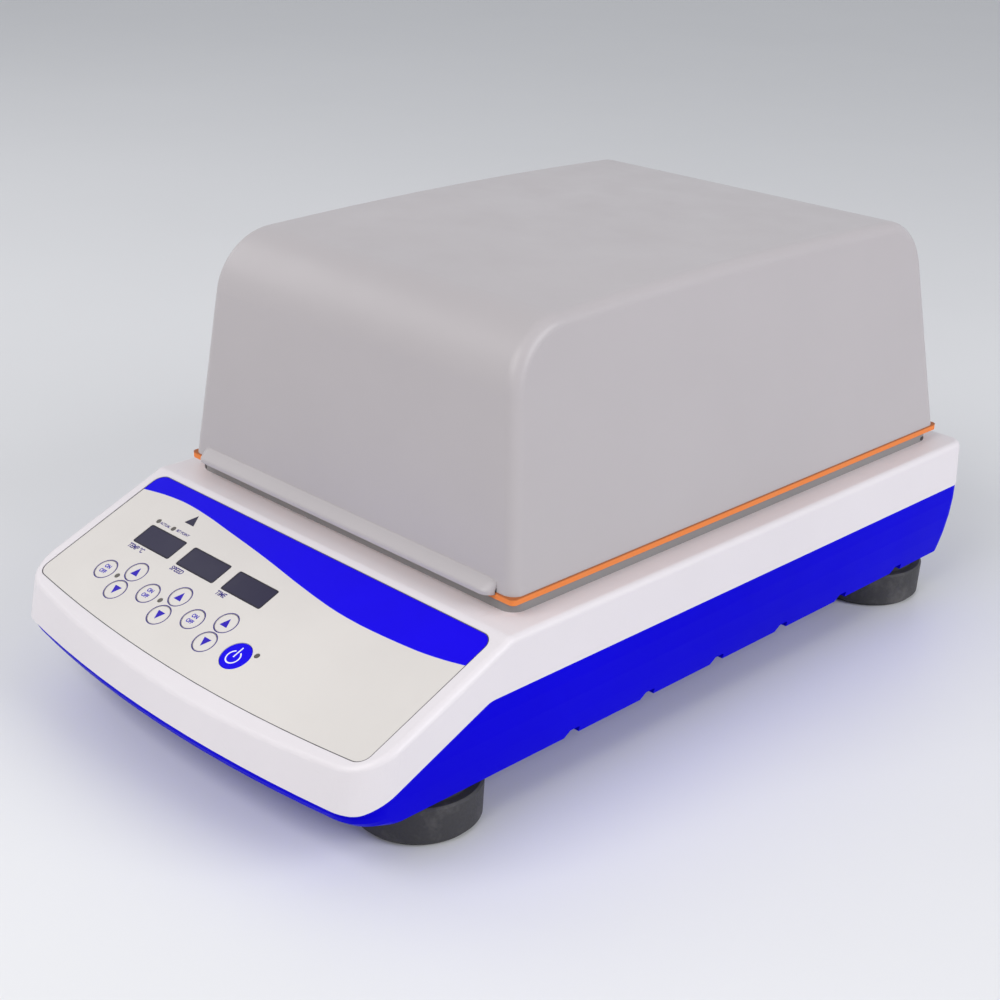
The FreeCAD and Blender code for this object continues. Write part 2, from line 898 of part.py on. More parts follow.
def make_top_housing():
    """White upper housing: a thin moulding with bowed front, ridge and sloping panel."""
    outer = housing_block(0)
    outer = outer.makeFillet(float(S.edge_round), top_edges(outer))
    shell = outer.cut(housing_block(float(S.wall)))
    inside = housing_block(float(S.wall) / 4)
    post = solid_cylinder(S.board_post_radius, 0, 0, BOARD_TOP, -S.wall / 2)
    extras = [on_panel(post.translated(Vector(x, y, 0))) for x, y in board_posts()]
    seat_half = S.hinge_width / 2 + S.hinge_side_gap
    seat_front = HINGE_Y - S.hinge_front_reach
    for _, x in hinge_places():
        extras.append(solid_box(x - seat_half - S.wall, x + seat_half + S.wall,
                                seat_front - S.wall, REAR, HINGE_SEAT - S.wall, S.top_level))
    shell = shell.fuse([item.common(inside) for item in extras]).common(above_seam())
    bosses = [solid_cylinder(S.case_boss_radius, x, y, split, S.top_level)
              for x, y, split in case_boss_places()]
    shell = shell.fuse([item.common(inside) for item in bosses])
    clear = S.top_level + 5
    opening = TUB_HALF + S.tub_gap
    cutters = [
        plan_prism(rectangle(-opening, opening, RIM_FRONT + S.rim_seat - S.tub_gap,
                             RIM_REAR - S.rim_seat + S.tub_gap),
                   [S.rim_corner - S.rim_seat + S.tub_gap] * 4, TUB_UNDER, clear),
        on_panel(overlay_sheet(S.overlay_gap, OVERLAY_UNDER, S.wall)),
        on_panel(panel_openings(-2 * S.wall, S.wall)),
    ]
    for _, x in hinge_places():
        cutters.append(solid_box(x - seat_half, x + seat_half, seat_front, REAR + S.wall,
                                 HINGE_SEAT, clear))
    for x, y in board_posts():
        cutters.append(on_panel(solid_cylinder(S.small_screw_radius + S.fit_gap, x, y, BOARD_TOP,
                                               BOARD_TOP + S.screw_grip + S.screw_spare)))
    for x, y, split in case_boss_places():
        cutters.append(solid_cylinder(S.case_screw_radius + S.fit_gap, x, y, split,
                                      split + S.case_screw_grip + S.screw_spare))
    for cutter in cutters:
        shell = shell.cut(cutter)
    return shell


def pan_levels():
    """Levels of the pan's plan outlines, closer together where the front tucks under."""
    low, front, side = float(S.pan_level), float(S.front_seam_level), float(S.side_seam_level)
    below = [low + (front - low) * part for part in (0, 0.25, 0.5, 0.75, 1)]
    return below + [front + (side - front) * part for part in (0.35, 0.7, 1.3)]


def pan_outline(level, inset):
    """Plan outline of the pan at a level, drawn in towards the bottom."""
    depth = max(0.0, (float(S.side_seam_level) - level)
                / (float(S.side_seam_level) - float(S.pan_level)))
    low = max(0.0, (float(S.front_seam_level) - level)
              / (float(S.front_seam_level) - float(S.pan_level)))
    side = float(S.pan_taper) * depth ** 2
    rear = float(S.pan_rear_taper) * depth ** 2
    front = float(S.pan_front_taper) * low ** 3
    shift = inset + float(S.seam_step)
    return outline(HALF - shift - side, FRONT + shift + front, REAR - shift - rear,
                   float(S.front_bow), float(S.front_corner) - shift - 5 * low,
                   float(S.rear_corner) - shift, level)


def pan_block(inset):
    levels = [level + (inset if index == 0 else 0) for index, level in enumerate(pan_levels())]
    levels = sorted(level for level in levels if level >= float(S.pan_level) + inset)
    return Part.makeLoft([pan_outline(level, inset) for level in levels], True, True)


def notch_places():
    return [REAR - S.notch_rear_run - S.notch_pitch * index for index in range(6)]


def foot_places():
    side, front, rear = HALF - S.foot_side_in, FRONT + S.foot_front_run, REAR - S.foot_rear_run
    return (("front_left", -side, front), ("front_right", side, front),
            ("rear_left", -side, rear), ("rear_right", side, rear))


def pillar_places():
    side = S.plate_width / 2 - S.pillar_inset
    run = S.plate_length / 2 - S.pillar_inset
    return [(sx * side, CENTRE + sy * run) for sx in (-1, 1) for sy in (-1, 1)]


def notch_cutter(y):
    """One vent notch through both bottom edges, with a slanted front."""
    low, rise, half = S.pan_level, S.notch_height, S.notch_length / 2
    points = [(y - half, low - rise), (y + half, low - rise), (y + half, low + rise),
              (y - half + rise, low + rise), (y - half, low)]
    soft = S.notch_round
    bite = side_prism(points, [0, 0, soft, soft, 0], HALF + S.wall)
    reach = HALF - S.notch_bite
    middle = solid_box(-reach, reach, y - 2 * half, y + 2 * half, low - 2 * rise, low + 2 * rise)
    return bite.cut(middle)


def make_base_pan():
    """Blue lower pan: a curved tub with drawn-in bottom, vents, bosses and inlet seat."""
    low = S.pan_level
    inner = low + S.wall / 3
    shell = pan_block(0).cut(pan_block(float(S.wall)))
    extras = [solid_cylinder(S.pillar_radius, x, y, inner, S.plate_level)
              for x, y in pillar_places()]
    extras += [solid_cylinder(S.case_boss_radius, x, y, inner, split)
               for x, y, split in case_boss_places()]
    inlet_half = S.inlet_width / 2
    inlet_rise = S.inlet_height / 2
    left, right = S.inlet_x - inlet_half, S.inlet_x + inlet_half
    under, over = S.inlet_level - inlet_rise, S.inlet_level + inlet_rise
    face = REAR - S.seam_step
    extras.append(solid_box(left - S.wall, right + S.wall, face - S.inlet_seat_depth, REAR,
                            under - S.wall, over + S.wall))
    keep = pan_block(float(S.wall) / 4)
    shell = shell.fuse([item.common(keep) for item in extras])
    cutters = [notch_cutter(y) for y in notch_places()]
    for x, y in pillar_places():
        cutters.append(solid_cylinder(S.small_screw_radius + S.fit_gap, x, y,
                                      S.plate_level - S.screw_grip - S.screw_spare,
                                      S.plate_level))
    for x, y, split in case_boss_places():
        cutters.append(solid_cylinder(S.case_screw_radius + S.fit_gap, x, y, low, split))
        cutters.append(solid_cylinder(S.case_head_radius + S.fit_gap, x, y, low - S.wall,
                                      low + S.case_head_height))
    for _, x, y in foot_places():
        cutters.append(solid_cylinder(S.foot_bore + S.fit_gap, x, y, low - S.wall,
                                      PAN_INNER + S.wall))
    radius = S.vent_width / 2
    slot = plan_prism(rectangle(-radius, radius, -S.vent_length / 2, S.vent_length / 2),
                      [float(radius) * 0.99] * 4, low - S.wall, PAN_INNER + S.wall)
    for side in (-1, 1):
        for index in range(-4, 5):
            spot = Vector(side * S.vent_side, CENTRE + index * S.vent_pitch, 0)
            cutters.append(slot.translated(spot))
    ledge = S.inlet_ledge
    cutters.append(solid_box(left + ledge, right - ledge, face - 2 * S.inlet_seat_depth, REAR,
                             under + ledge, over - ledge))
    gap = S.panel_fit
    cutters.append(solid_box(left - gap, right + gap, face - S.inlet_recess, REAR + S.wall,
                             under - gap, over + gap))
    for cutter in cutters:
        shell = shell.cut(cutter)
    return shell.cut(above_seam())


def make_foot(name, x, y):
    """Round rubber foot with a neck, soft edges and a screw recess under it."""
    rim, seat = S.foot_rim, S.foot_rim_level
    soft = S.foot_soft
    points = [(S.foot_recess, 0), (S.foot_radius - soft, 0), (S.foot_radius, soft),
              (rim, seat - soft / 2), (rim - soft / 2, seat), (S.foot_neck, seat),
              (S.foot_neck, S.pan_level), (S.foot_bore, S.pan_level), (S.foot_bore, seat / 2),
              (S.foot_recess, seat / 2)]
    return turned("foot_" + name, points, x, y)


def screw(name, radius, head_radius, head_height, x, y, seat, tip):
    """A pan-head screw that runs from its seat to its tip, up or down."""
    up = 1 if float(tip) > float(seat) else -1
    ends = sorted((seat, tip), key=float)
    shank = cylinder(name + "_shank", radius, x, y, *ends)
    ends = sorted((seat, seat - up * head_height), key=float)
    head = cylinder(name + "_head", head_radius, x, y, *ends)
    depth = head_height / 2
    outer = seat - up * head_height
    ends = sorted((outer, outer + up * depth), key=float)
    socket = cylinder(name + "_socket", head_radius / 2, x, y, *ends)
    return cut(name, fuse(name + "_body", [shank, head]), [socket])


def make_case_screws():
    """Screws of the case: one in each foot, and six that hold the pan to the housing."""
    foot_seat = S.foot_rim_level / 2
    head = S.case_head_height - S.screw_spare
    case_seat = S.pan_level + S.case_head_height
    screws = [screw("foot_screw", S.foot_bore, S.foot_recess / 2, S.foot_screw_head, x, y,
                    foot_seat, PAN_INNER)
              for _, x, y in foot_places()]
    screws += [screw("case_screw", S.case_screw_radius, S.case_head_radius, head, x, y,
                     case_seat, split + S.case_screw_grip)
               for x, y, split in case_boss_places()]
    return group("case_screws", screws)


# Control panel

def make_overlay():
    """Thin keypad overlay with openings for the windows, keys and lenses."""
    return overlay_sheet(0, OVERLAY_UNDER, OVERLAY_TOP).cut(panel_openings(-S.wall, S.wall))


def make_window(name, x, run):
    """One dark display window, a thin block with round corners."""
    owner = body(name)
    profile = sketch(owner, "XY_Plane", WINDOW_UNDER)
    half_width = S.window_width / 2
    half_height = S.window_height / 2
    rounded_rectangle(profile, -half_width, half_width, -half_height, half_height,
                      S.window_corner)
    pad(owner, profile, S.window_thick)
    return on_slope(owner, x, run)


def make_key(name, x, run, radius):
    """A flush key cap on a round stem, turned about the key's own axis."""
    cap = OVERLAY_TOP
    under = OVERLAY_TOP - S.key_thick
    stem = -S.key_stem_depth
    edge = S.key_edge
    owner = body(name)
    profile = sketch(owner, "XZ_Plane")
    polygon(profile, [(0, stem), (S.key_stem, stem), (S.key_stem, under), (radius, under),
                      (radius, cap - edge), (radius - edge, cap), (0, cap)])
    revolve(owner, profile)
    return on_slope(owner, x, run)


def make_lenses():
    """Clear light pipes that stand on the display board and end in the overlay."""
    pins = [cylinder("lens", S.lens_radius, x, -run, BOARD_TOP, OVERLAY_TOP)
            for x, run in lens_places()]
    return on_slope(group("indicator_lenses", pins))


def make_lamp():
    """The small triangular lamp window."""
    owner = body("heater_lamp_lens")
    profile = sketch(owner, "XY_Plane", WINDOW_UNDER)
    polygon(profile, lamp_points(0))
    pad(owner, profile, S.window_thick)
    return on_slope(owner)


def make_display_board():
    """The board behind the panel, screwed to four posts of the housing."""
    owner = body("display_board")
    profile = sketch(owner, "XY_Plane", BOARD_UNDER)
    rounded_rectangle(profile, -S.board_left, S.board_right, -S.board_front, -S.board_back,
                      S.board_corner)
    pad(owner, profile, S.board_thick)
    holes = sketch(owner, "XY_Plane", BOARD_TOP)
    for x, y in board_posts():
        circle(holes, S.small_screw_radius + S.fit_gap, x, y)
    pocket(owner, holes, S.board_thick)
    return on_slope(owner)


def make_digit_modules():
    """Three digit blocks on the display board, just behind the windows."""
    shrink = S.digit_inset
    blocks = []
    for x, run in window_places():
        (x0, y0), (x1, _), (_, y1), _ = window_rectangle(x, run, -shrink)
        blocks.append(box("digits", x0, x1, y0, y1, BOARD_TOP, WINDOW_UNDER - S.panel_fit))
    return on_slope(group("digit_modules", blocks))


def make_key_switches():
    """A push switch under every key."""
    half = S.switch_half
    switches = []
    for _, x, run, _ in key_places():
        case = box("switch_case", x - half, x + half, -run - half, half - run, BOARD_TOP,
                   SWITCH_TOP - S.key_travel)
        button = cylinder("switch_button", half / 2, x, -run, SWITCH_TOP - S.key_travel,
                          SWITCH_TOP)
        switches.append(fuse("switch", [case, button]))
    return on_slope(group("key_switches", switches))


# Chamber

def make_chamber_tub():
    """Grey chamber tub: a raised rim that seats on the housing, walls and a floor."""
    owner = body("chamber_tub")
    inner_corner = S.rim_corner - S.rim_seat - S.tub_wall
    low = sketch(owner, "XY_Plane", TUB_UNDER)
    front, rear = RIM_FRONT + S.rim_seat, RIM_REAR - S.rim_seat
    rounded_rectangle(low, -TUB_HALF, TUB_HALF, front, rear, S.rim_corner - S.rim_seat)
    pad(owner, low, S.top_level - TUB_UNDER)
    rim = sketch(owner, "XY_Plane", S.top_level)
    rounded_rectangle(rim, -RIM_HALF, RIM_HALF, RIM_FRONT, RIM_REAR, S.rim_corner)
    pad(owner, rim, S.rim_height)
    hollow = sketch(owner, "XY_Plane", RIM_TOP)
    side = TUB_HALF - S.tub_wall
    rounded_rectangle(hollow, -side, side, front + S.tub_wall, rear - S.tub_wall, inner_corner)
    pocket(owner, hollow, S.tub_depth + S.rim_height)
    holes = sketch(owner, "XY_Plane", TUB_TOP_OF_FLOOR)
    circle(holes, S.hub_radius + S.orbit_radius + S.orbit_clearance, 0, CENTRE)
    radius = S.idler_boss_radius + S.orbit_radius + S.orbit_clearance
    for x, y in idler_terms():
        circle(holes, radius, x, y)
    pocket(owner, holes, S.tub_floor)
    return owner


def idler_terms():
    return [(side * S.idler_side, CENTRE + run * S.idler_run)
            for side in (-1, 1) for run in (-1, 1)]


def make_heater_mat():
    """Flat heater bonded under the tub floor, cut out round the hub and the idlers."""
    owner = body("heater_mat")
    profile = sketch(owner, "XY_Plane", TUB_UNDER - S.heater_thick)
    half = S.idler_side + S.idler_boss_radius
    run = S.idler_run + S.idler_boss_radius
    rounded_rectangle(profile, -half, half, CENTRE - run, CENTRE + run, S.tray_corner)
    pad(owner, profile, S.heater_thick)
    holes = sketch(owner, "XY_Plane", TUB_UNDER)
    gap = S.orbit_radius + S.orbit_clearance + S.heater_margin
    circle(holes, S.hub_radius + gap, 0, CENTRE)
    pocket(owner, holes, S.heater_thick)
    corners = sketch(owner, "XY_Plane", TUB_UNDER)
    for x, y in idler_terms():
        circle(corners, S.idler_boss_radius + gap, x, y)
    pocket(owner, corners, S.heater_thick)
    return owner


def make_probe():
    """Slim temperature probe on a collar, standing in the corner of the chamber."""
    inset = S.tub_wall + S.probe_inset
    low = TUB_TOP_OF_FLOOR
    high = low + S.probe_height
    step = S.probe_step
    radius = S.probe_radius
    points = [(0, low), (S.probe_collar, low), (S.probe_collar, low + step),
              (radius, low + step), (radius, high - step / 2), (radius - step / 2, high), (0, high)]
    return turned("temperature_probe", points, inset - TUB_HALF, RIM_REAR - S.rim_seat - inset)


# Tray and drive

def make_tray():
    """Aluminium tray plate.

    It is drawn about the crank's axis and stands off by the orbit radius, like all it carries.
    """
    owner = body("tray_platform")
    half = S.tray_width / 2
    profile = sketch(owner, "XY_Plane", TRAY_UNDER)
    rounded_rectangle(profile, -half, half, CENTRE - TRAY_RUN, CENTRE + TRAY_RUN, S.tray_corner)
    pad(owner, profile, S.tray_thick)
    return place(owner, S.orbit_radius, 0, 0)


def make_tray_rails():
    """Four straight rails that stand on the tray's edges, between its round corners."""
    wall, corner = S.tray_thick, S.tray_corner
    left, right = S.orbit_radius - S.tray_width / 2, S.orbit_radius + S.tray_width / 2
    front, rear = CENTRE - TRAY_RUN, CENTRE + TRAY_RUN
    low, high = TRAY_TOP, TRAY_TOP + S.tray_edge
    return group("tray_rails", [
        box("side_rail", left, left + wall, front + corner, rear - corner, low, high),
        box("side_rail", right - wall, right, front + corner, rear - corner, low, high),
        box("end_rail", left + corner, right - corner, front, front + wall, low, high),
        box("end_rail", left + corner, right - corner, rear - wall, rear, low, high)])


def make_tray_bosses():
    """Bearing hub and four bored bosses riveted under the tray, each a piece of its own."""
    roof = TRAY_UNDER - S.bore_roof
    pieces = [(S.hub_radius, S.tray_bearing_radius, S.hub_length, 0, CENTRE)]
    pieces += [(S.idler_boss_radius, S.idler_pin_radius + S.fit_gap, S.idler_boss_length, x, y)
               for x, y in idler_terms()]
    bosses = []
    for radius, bore, length, x, y in pieces:
        x = x + S.orbit_radius
        low = TRAY_UNDER - length
        bosses.append(cut("tray_boss", cylinder("tray_boss_body", radius, x, y, low, TRAY_UNDER),
                          [cylinder("tray_boss_bore", bore, x, y, low, roof)]))
    return group("tray_bosses", bosses)


def make_tray_mat():
    owner = body("tray_mat")
    half = S.tray_width / 2 - S.tray_thick - S.mat_gap
    run = TRAY_RUN - S.tray_thick - S.mat_gap
    profile = sketch(owner, "XY_Plane", TRAY_TOP)
    rounded_rectangle(profile, -half, half, CENTRE - run, CENTRE + run,
                      S.tray_corner - S.tray_thick - S.mat_gap)
    pad(owner, profile, S.mat_thick)
    return place(owner, S.orbit_radius, 0, 0)


def make_tray_bearing():
    """Ball bearing in the tray's hub, as a plain ring."""
    inner, outer = S.crank_pin_radius + S.fit_gap, S.tray_bearing_radius
    low, high = TRAY_BEARING_TOP - S.tray_bearing_height, TRAY_BEARING_TOP
    return turned("tray_bearing", [(inner, low), (outer, low), (outer, high), (inner, high)],
                  S.orbit_radius, CENTRE)


def make_main_bearings():
    """Two ball bearings, one above the other, as plain rings."""
    rings = []
    for level in (PLATE_TOP + S.block_lip, BEARING_TOP - S.bearing_height):
        top = level + S.bearing_height
        outer = cylinder("race", S.bearing_outer, 0, CENTRE, level, top)
        hole = cylinder("race_bore", S.shaft_radius + S.fit_gap, 0, CENTRE, level, top)
        rings.append(cut("bearing", outer, [hole]))
    return group("main_bearings", rings)


def make_bearing_block():
    """Flanged bearing block with a ring of screw holes."""
    owner = body("bearing_block")
    profile = sketch(owner, "XZ_Plane")
    low, high = PLATE_TOP, BEARING_TOP
    flange = low + S.block_flange_thick
    lip = low + S.block_lip
    bore = S.shaft_radius + S.shaft_clearance
    slant = S.block_slant
    polygon(profile, [(bore, low), (S.block_flange, low), (S.block_flange, flange),
                      (S.block_radius + slant, flange), (S.block_radius, flange + slant),
                      (S.block_radius, high), (S.bearing_outer, high), (S.bearing_outer, lip),
                      (bore, lip)])
    revolve(owner, profile)
    hole = sketch(owner, "XY_Plane", flange)
    circle(hole, S.small_screw_radius, (S.block_radius + slant + S.block_flange) / 2, 0)
    return ring_of_holes(owner, hole, S.block_flange_thick, 4)


def ring_of_holes(owner, hole, depth, count):
    """Repeat a pocketed hole round a turned body's own axis, and put the body in place."""
    around = owner.newObject("PartDesign::PolarPattern", owner.Name + "_holes")
    around.Originals = [pocket(owner, hole, depth)]
    around.Axis = (hole, ["N_Axis"])
    around.Angle = 360
    around.Occurrences = count
    owner.Tip = around
    return place(owner, 0, CENTRE, 0)


def make_crankshaft():
    """Shaft, disc and eccentric pin in one piece."""
    owner = body("crankshaft")
    low = S.pulley_level - S.shaft_tail
    shaft = sketch(owner, "XY_Plane", low)
    circle(shaft, S.shaft_radius, 0, 0)
    pad(owner, shaft, CRANK_DISC - low)
    disc = sketch(owner, "XY_Plane", CRANK_DISC)
    circle(disc, S.crank_disc_radius, 0, 0)
    pad(owner, disc, S.crank_disc_thick)
    pin = sketch(owner, "XY_Plane", CRANK_DISC_TOP)
    circle(pin, S.crank_pin_radius, S.orbit_radius, 0)
    pad(owner, pin, TRAY_BEARING_TOP - CRANK_DISC_TOP)
    return place(owner, 0, CENTRE, 0)


def make_counterweight():
    """Half ring opposite the crank pin that balances the tray."""
    low = CRANK_DISC
    high = low + S.counterweight_thick
    wheel = cylinder("counterweight_wheel", S.counterweight_radius, 0, CENTRE, low, high)
    bore = cylinder("counterweight_bore", S.crank_disc_radius, 0, CENTRE, low, high)
    reach = S.counterweight_radius
    half = box("counterweight_half", S.counterweight_edge, reach, CENTRE - reach, CENTRE + reach,
               low, high)
    return cut("counterweight", wheel, [bore, half])


def make_crank_pulley():
    """Flat belt pulley with a thin web, a hub and six lightening holes."""
    owner = body("crank_pulley")
    low = S.pulley_level
    high = low + S.pulley_height
    rim = S.pulley_radius - S.pulley_rim
    web_low, web_high = low + S.pulley_rim, high - S.pulley_rim
    bore = S.shaft_radius
    hub = bore + S.pulley_hub
    profile = sketch(owner, "XZ_Plane")
    polygon(profile, [(bore, low), (hub, low), (hub, web_low), (rim, web_low), (rim, low),
                      (S.pulley_radius, low), (S.pulley_radius, high), (rim, high),
                      (rim, web_high), (hub, web_high), (hub, high), (bore, high)])
    revolve(owner, profile)
    hole = sketch(owner, "XY_Plane", web_high)
    circle(hole, S.pulley_hole, (hub + rim) / 2, 0)
    return ring_of_holes(owner, hole, S.pulley_height, 6)


def belt_loop(grow):
    """Closed outline round both pulleys, grown by an amount, as a face."""
    big = float(S.pulley_radius) + grow
    small = float(S.motor_pulley_radius) + grow
    reach = float(S.motor_offset)
    lean = math.asin((big - small) / reach)
    level = float(S.pulley_level + (S.pulley_height - S.belt_width) / 2)
    top = float(CENTRE)
    low = top - reach

    def spot(hub, radius, angle):
        return Vector(radius * math.cos(angle), hub + radius * math.sin(angle), level)

    right = -lean
    left = math.pi + lean
    edges = [
        Part.Arc(spot(top, big, right), spot(top, big, math.pi / 2), spot(top, big, left)).toShape(),
        Part.makeLine(spot(top, big, left), spot(low, small, left)),
        Part.Arc(spot(low, small, left), spot(low, small, -math.pi / 2),
                 spot(low, small, right)).toShape(),
        Part.makeLine(spot(low, small, right), spot(top, big, right)),
    ]
    return Part.Face(Part.Wire(edges))


def make_belt():
    gap = float(S.belt_gap)
    height = Vector(0, 0, float(S.belt_width))
    outer = belt_loop(gap + float(S.belt_thick)).extrude(height)
    return outer.cut(belt_loop(gap).extrude(height))


def make_motor():
    """Flat motor can with a mounting spigot through the plate and a rounded cap."""
    low = PLATE_TOP
    high = low + S.motor_height
    bore = S.motor_shaft_radius + S.fit_gap
    spigot = bore + S.motor_spigot
    radius = S.motor_radius
    soft = S.motor_soft
    well = high - S.motor_well
    return turned("drive_motor", [
        (bore, low - S.plate_thick), (spigot, low - S.plate_thick), (spigot, low), (radius, low),
        (radius, high - soft), (radius - soft, high), (0, high), (0, well), (bore, well)],
        0, MOTOR_Y)


def make_motor_pulley():
    """Small pulley in one piece with the motor's shaft."""
    low = S.pulley_level
    high = low + S.pulley_height
    shaft = S.motor_shaft_radius
    top = PLATE_TOP + S.motor_height - S.motor_well - S.screw_spare
    return turned("motor_pulley", [
        (0, low), (S.motor_pulley_radius, low), (S.motor_pulley_radius, high), (shaft, high),
        (shaft, top), (0, top)], 0, MOTOR_Y)


def make_drive_plate():
    """Steel plate that carries the bearing block, the idler posts and the motor."""
    owner = body("drive_plate")
    half, run = S.plate_width / 2, S.plate_length / 2
    profile = sketch(owner, "XY_Plane", S.plate_level)
    rounded_rectangle(profile, -half, half, CENTRE - run, CENTRE + run, S.plate_corner)
    pad(owner, profile, S.plate_thick)
    holes = sketch(owner, "XY_Plane", PLATE_TOP)
    circle(holes, S.shaft_radius + S.shaft_clearance, 0, CENTRE)
    circle(holes, S.motor_shaft_radius + S.fit_gap + S.motor_spigot + S.fit_gap, 0, MOTOR_Y)
    for x, y in pillar_places():
        circle(holes, S.small_screw_radius + S.fit_gap, x, y)
    for side in (-1, 1):
        circle(holes, S.plate_hole, side * S.plate_hole_side, CENTRE - S.plate_hole_run)
        circle(holes, S.plate_hole, side * S.plate_hole_side, CENTRE + S.plate_hole_run)
    pocket(owner, holes, S.plate_thick)
    return owner


def make_small_screws():
    """Screws of one size that hold the display board and the drive plate."""
    head = (S.small_screw_radius, S.small_head_radius, S.small_head_height)
    board = [screw("board_screw", *head, x, y, BOARD_UNDER, BOARD_TOP + S.screw_grip)
             for x, y in board_posts()]
    plate = [screw("plate_screw", *head, x, y, PLATE_TOP, S.plate_level - S.screw_grip)
             for x, y in pillar_places()]
    return group("small_screws", [on_slope(group("board_screws", board))] + plate)


def make_idler_posts():
    """Four posts on the plate, each bored for an idler crank's journal."""
    posts = []
    for x, y in idler_terms():
        foot = cylinder("idler_foot", S.idler_post_radius + S.idler_foot, x, y, PLATE_TOP,
                        PLATE_TOP + S.block_flange_thick)
        post = cylinder("idler_column", S.idler_post_radius, x, y, PLATE_TOP, IDLER_TOP)
        hole = cylinder("idler_bore", S.idler_journal_radius + S.fit_gap, x, y,
                        PLATE_TOP + S.block_lip, IDLER_TOP)
        posts.append(cut("idler_post", fuse("idler_column_foot", [foot, post]), [hole]))
    return group("idler_posts", posts)


def make_idler(index, x, y):
    """One small crank that keeps a corner of the tray on the same orbit."""
    owner = body("idler_crank_%d" % index)
    low = PLATE_TOP + S.block_lip + S.idler_gap
    disc_low = IDLER_TOP + S.idler_gap
    journal = sketch(owner, "XY_Plane", low)
    circle(journal, S.idler_journal_radius, 0, 0)
    pad(owner, journal, disc_low - low)
    disc = sketch(owner, "XY_Plane", disc_low)
    circle(disc, S.idler_disc_radius, 0, 0)
    pad(owner, disc, S.idler_disc_thick)
    pin = sketch(owner, "XY_Plane", disc_low + S.idler_disc_thick)
    circle(pin, S.idler_pin_radius, S.orbit_radius, 0)
    pad(owner, pin, TRAY_UNDER - S.bore_roof - S.idler_gap - disc_low - S.idler_disc_thick)
    return place(owner, x, y, 0)


# Electrics

def make_control_board():
    """Main circuit board with its larger components, on standoffs in front of the plate."""
    left, front = -S.control_reach, FRONT + S.control_run
    low = PAN_INNER + S.standoff
    top = low + S.board_thick
    pieces = [box("control_sheet", left, left + S.control_width, front,
                  front + S.control_length, low, top)]
    # relay, processor, power terminal, signal terminal: x, y, width, length and height
    for x, y, width, length, height in ((8, 4, 22, 22, 12), (40, 6, 20, 14, 4),
                                        (66, 2, 20, 7, 9), (5, 54, 65, 8, 9)):
        pieces.append(box("component", left + x, left + x + width, front + y,
                          front + y + length, top, top + height))
    for x, y in ((74, 28), (56, 34)):
        pieces.append(cylinder("capacitor", S.capacitor_radius, left + x, front + y, top,
                               top + S.capacitor_height))
    inset = S.board_post_inset
    for x in (left + inset, left + S.control_width - inset):
        for y in (front + inset, front + S.control_length - inset):
            pieces.append(cylinder("standoff", S.board_post_radius, x, y, PAN_INNER, low))
    return fuse("control_board", pieces)


def make_power_supply():
    """Enclosed power supply on the pan floor, with a slotted lid."""
    left, front = S.supply_left, FRONT + S.control_run
    top = PAN_INNER + S.supply_height
    case = box("supply_case", left, left + S.supply_width, front, front + S.supply_length,
               PAN_INNER, top)
    pitch = S.supply_width / 11
    slots = []
    for index in range(1, 10):
        x = left + pitch * index
        slots.append(box("supply_slot", x, x + pitch / 2, front + pitch,
                         front + S.supply_length - pitch, top - S.slot_depth, top))
    return cut("power_supply", case, slots)


def make_inlet():
    """Mains inlet: flange, body and three flat pins in the socket's recess."""
    face = REAR - S.seam_step
    level = S.inlet_level
    half, rise, ledge = S.inlet_width / 2, S.inlet_height / 2, S.inlet_ledge + S.panel_fit
    left, right = S.inlet_x - half, S.inlet_x + half
    back = face - S.inlet_recess
    flange = solid_box(left, right, back, face, level - rise, level + rise)
    core = solid_box(left + ledge, right - ledge, face - S.inlet_depth, back,
                     level - rise + ledge, level + rise - ledge)
    shape = flange.fuse(core)
    socket = S.inlet_x - S.socket_shift
    wide, tall, slant = S.socket_half, S.socket_rise, S.socket_slant
    points = [(socket - wide, level - tall), (socket + wide, level - tall),
              (socket + wide, level + tall - slant), (socket + wide - slant, level + tall),
              (socket - wide + slant, level + tall), (socket - wide, level + tall - slant)]
    floor = face - S.socket_depth
    wire = rounded_wire(points, [S.notch_round] * 6, lambda p: Vector(p.x, floor, p.y))
    shape = shape.cut(Part.Face(wire).extrude(Vector(0, S.socket_depth, 0)))
    drawer, gap = S.inlet_x + S.drawer_shift, S.panel_fit
    wide, tall = S.drawer_half + gap, S.drawer_rise + gap
    shape = shape.cut(solid_box(drawer - wide, drawer + wide, face - S.drawer_depth - gap, face,
                                level - tall, level + tall))
    thin, high = S.pin_half, S.pin_rise
    for across, up in ((-1, -1), (0, 1), (1, -1)):
        x, z = socket + across * S.pin_pitch, level + up * thin * 2
        shape = shape.fuse(solid_box(x - thin, x + thin, floor - thin, face - S.inlet_recess,
                                     z - high, z + high))
    return shape


def make_fuse_drawer():
    """Pull-out fuse drawer with a finger slot across its face."""
    face = REAR - S.seam_step
    x, level = S.inlet_x + S.drawer_shift, S.inlet_level
    wide, tall, slot = S.drawer_half, S.drawer_rise, S.drawer_slot
    block = box("drawer_block", x - wide, x + wide, face - S.drawer_depth, face + slot,
                level - tall, level + tall)
    grip = box("drawer_grip", x - wide / 2, x + wide / 2, face, face + slot, level - slot,
               level + slot)
    return cut("inlet_fuse_drawer", block, [grip])


# Lid

def lid_points(inset, low):
    """Side profile of the lid: leaning front and back, arched top."""
    front_lean = float(tangent(S.lid_front_lean))
    back_lean = float(tangent(S.lid_back_lean))
    base = float(LID_BASE)
    front = float(LID_FRONT) + inset
    rear = float(LID_REAR) - inset
    shoulder = float(S.lid_height) - inset - float(S.lid_crown)
    rise = lid_crown_slope() * float(LID_REAR - LID_FRONT) / 2
    drop = base - low
    return [(front - drop * front_lean, low), (front + shoulder * front_lean, base + shoulder),
            ((front + rear) / 2, base + shoulder + rise),
            (rear - shoulder * back_lean, base + shoulder), (rear + drop * back_lean, low)]


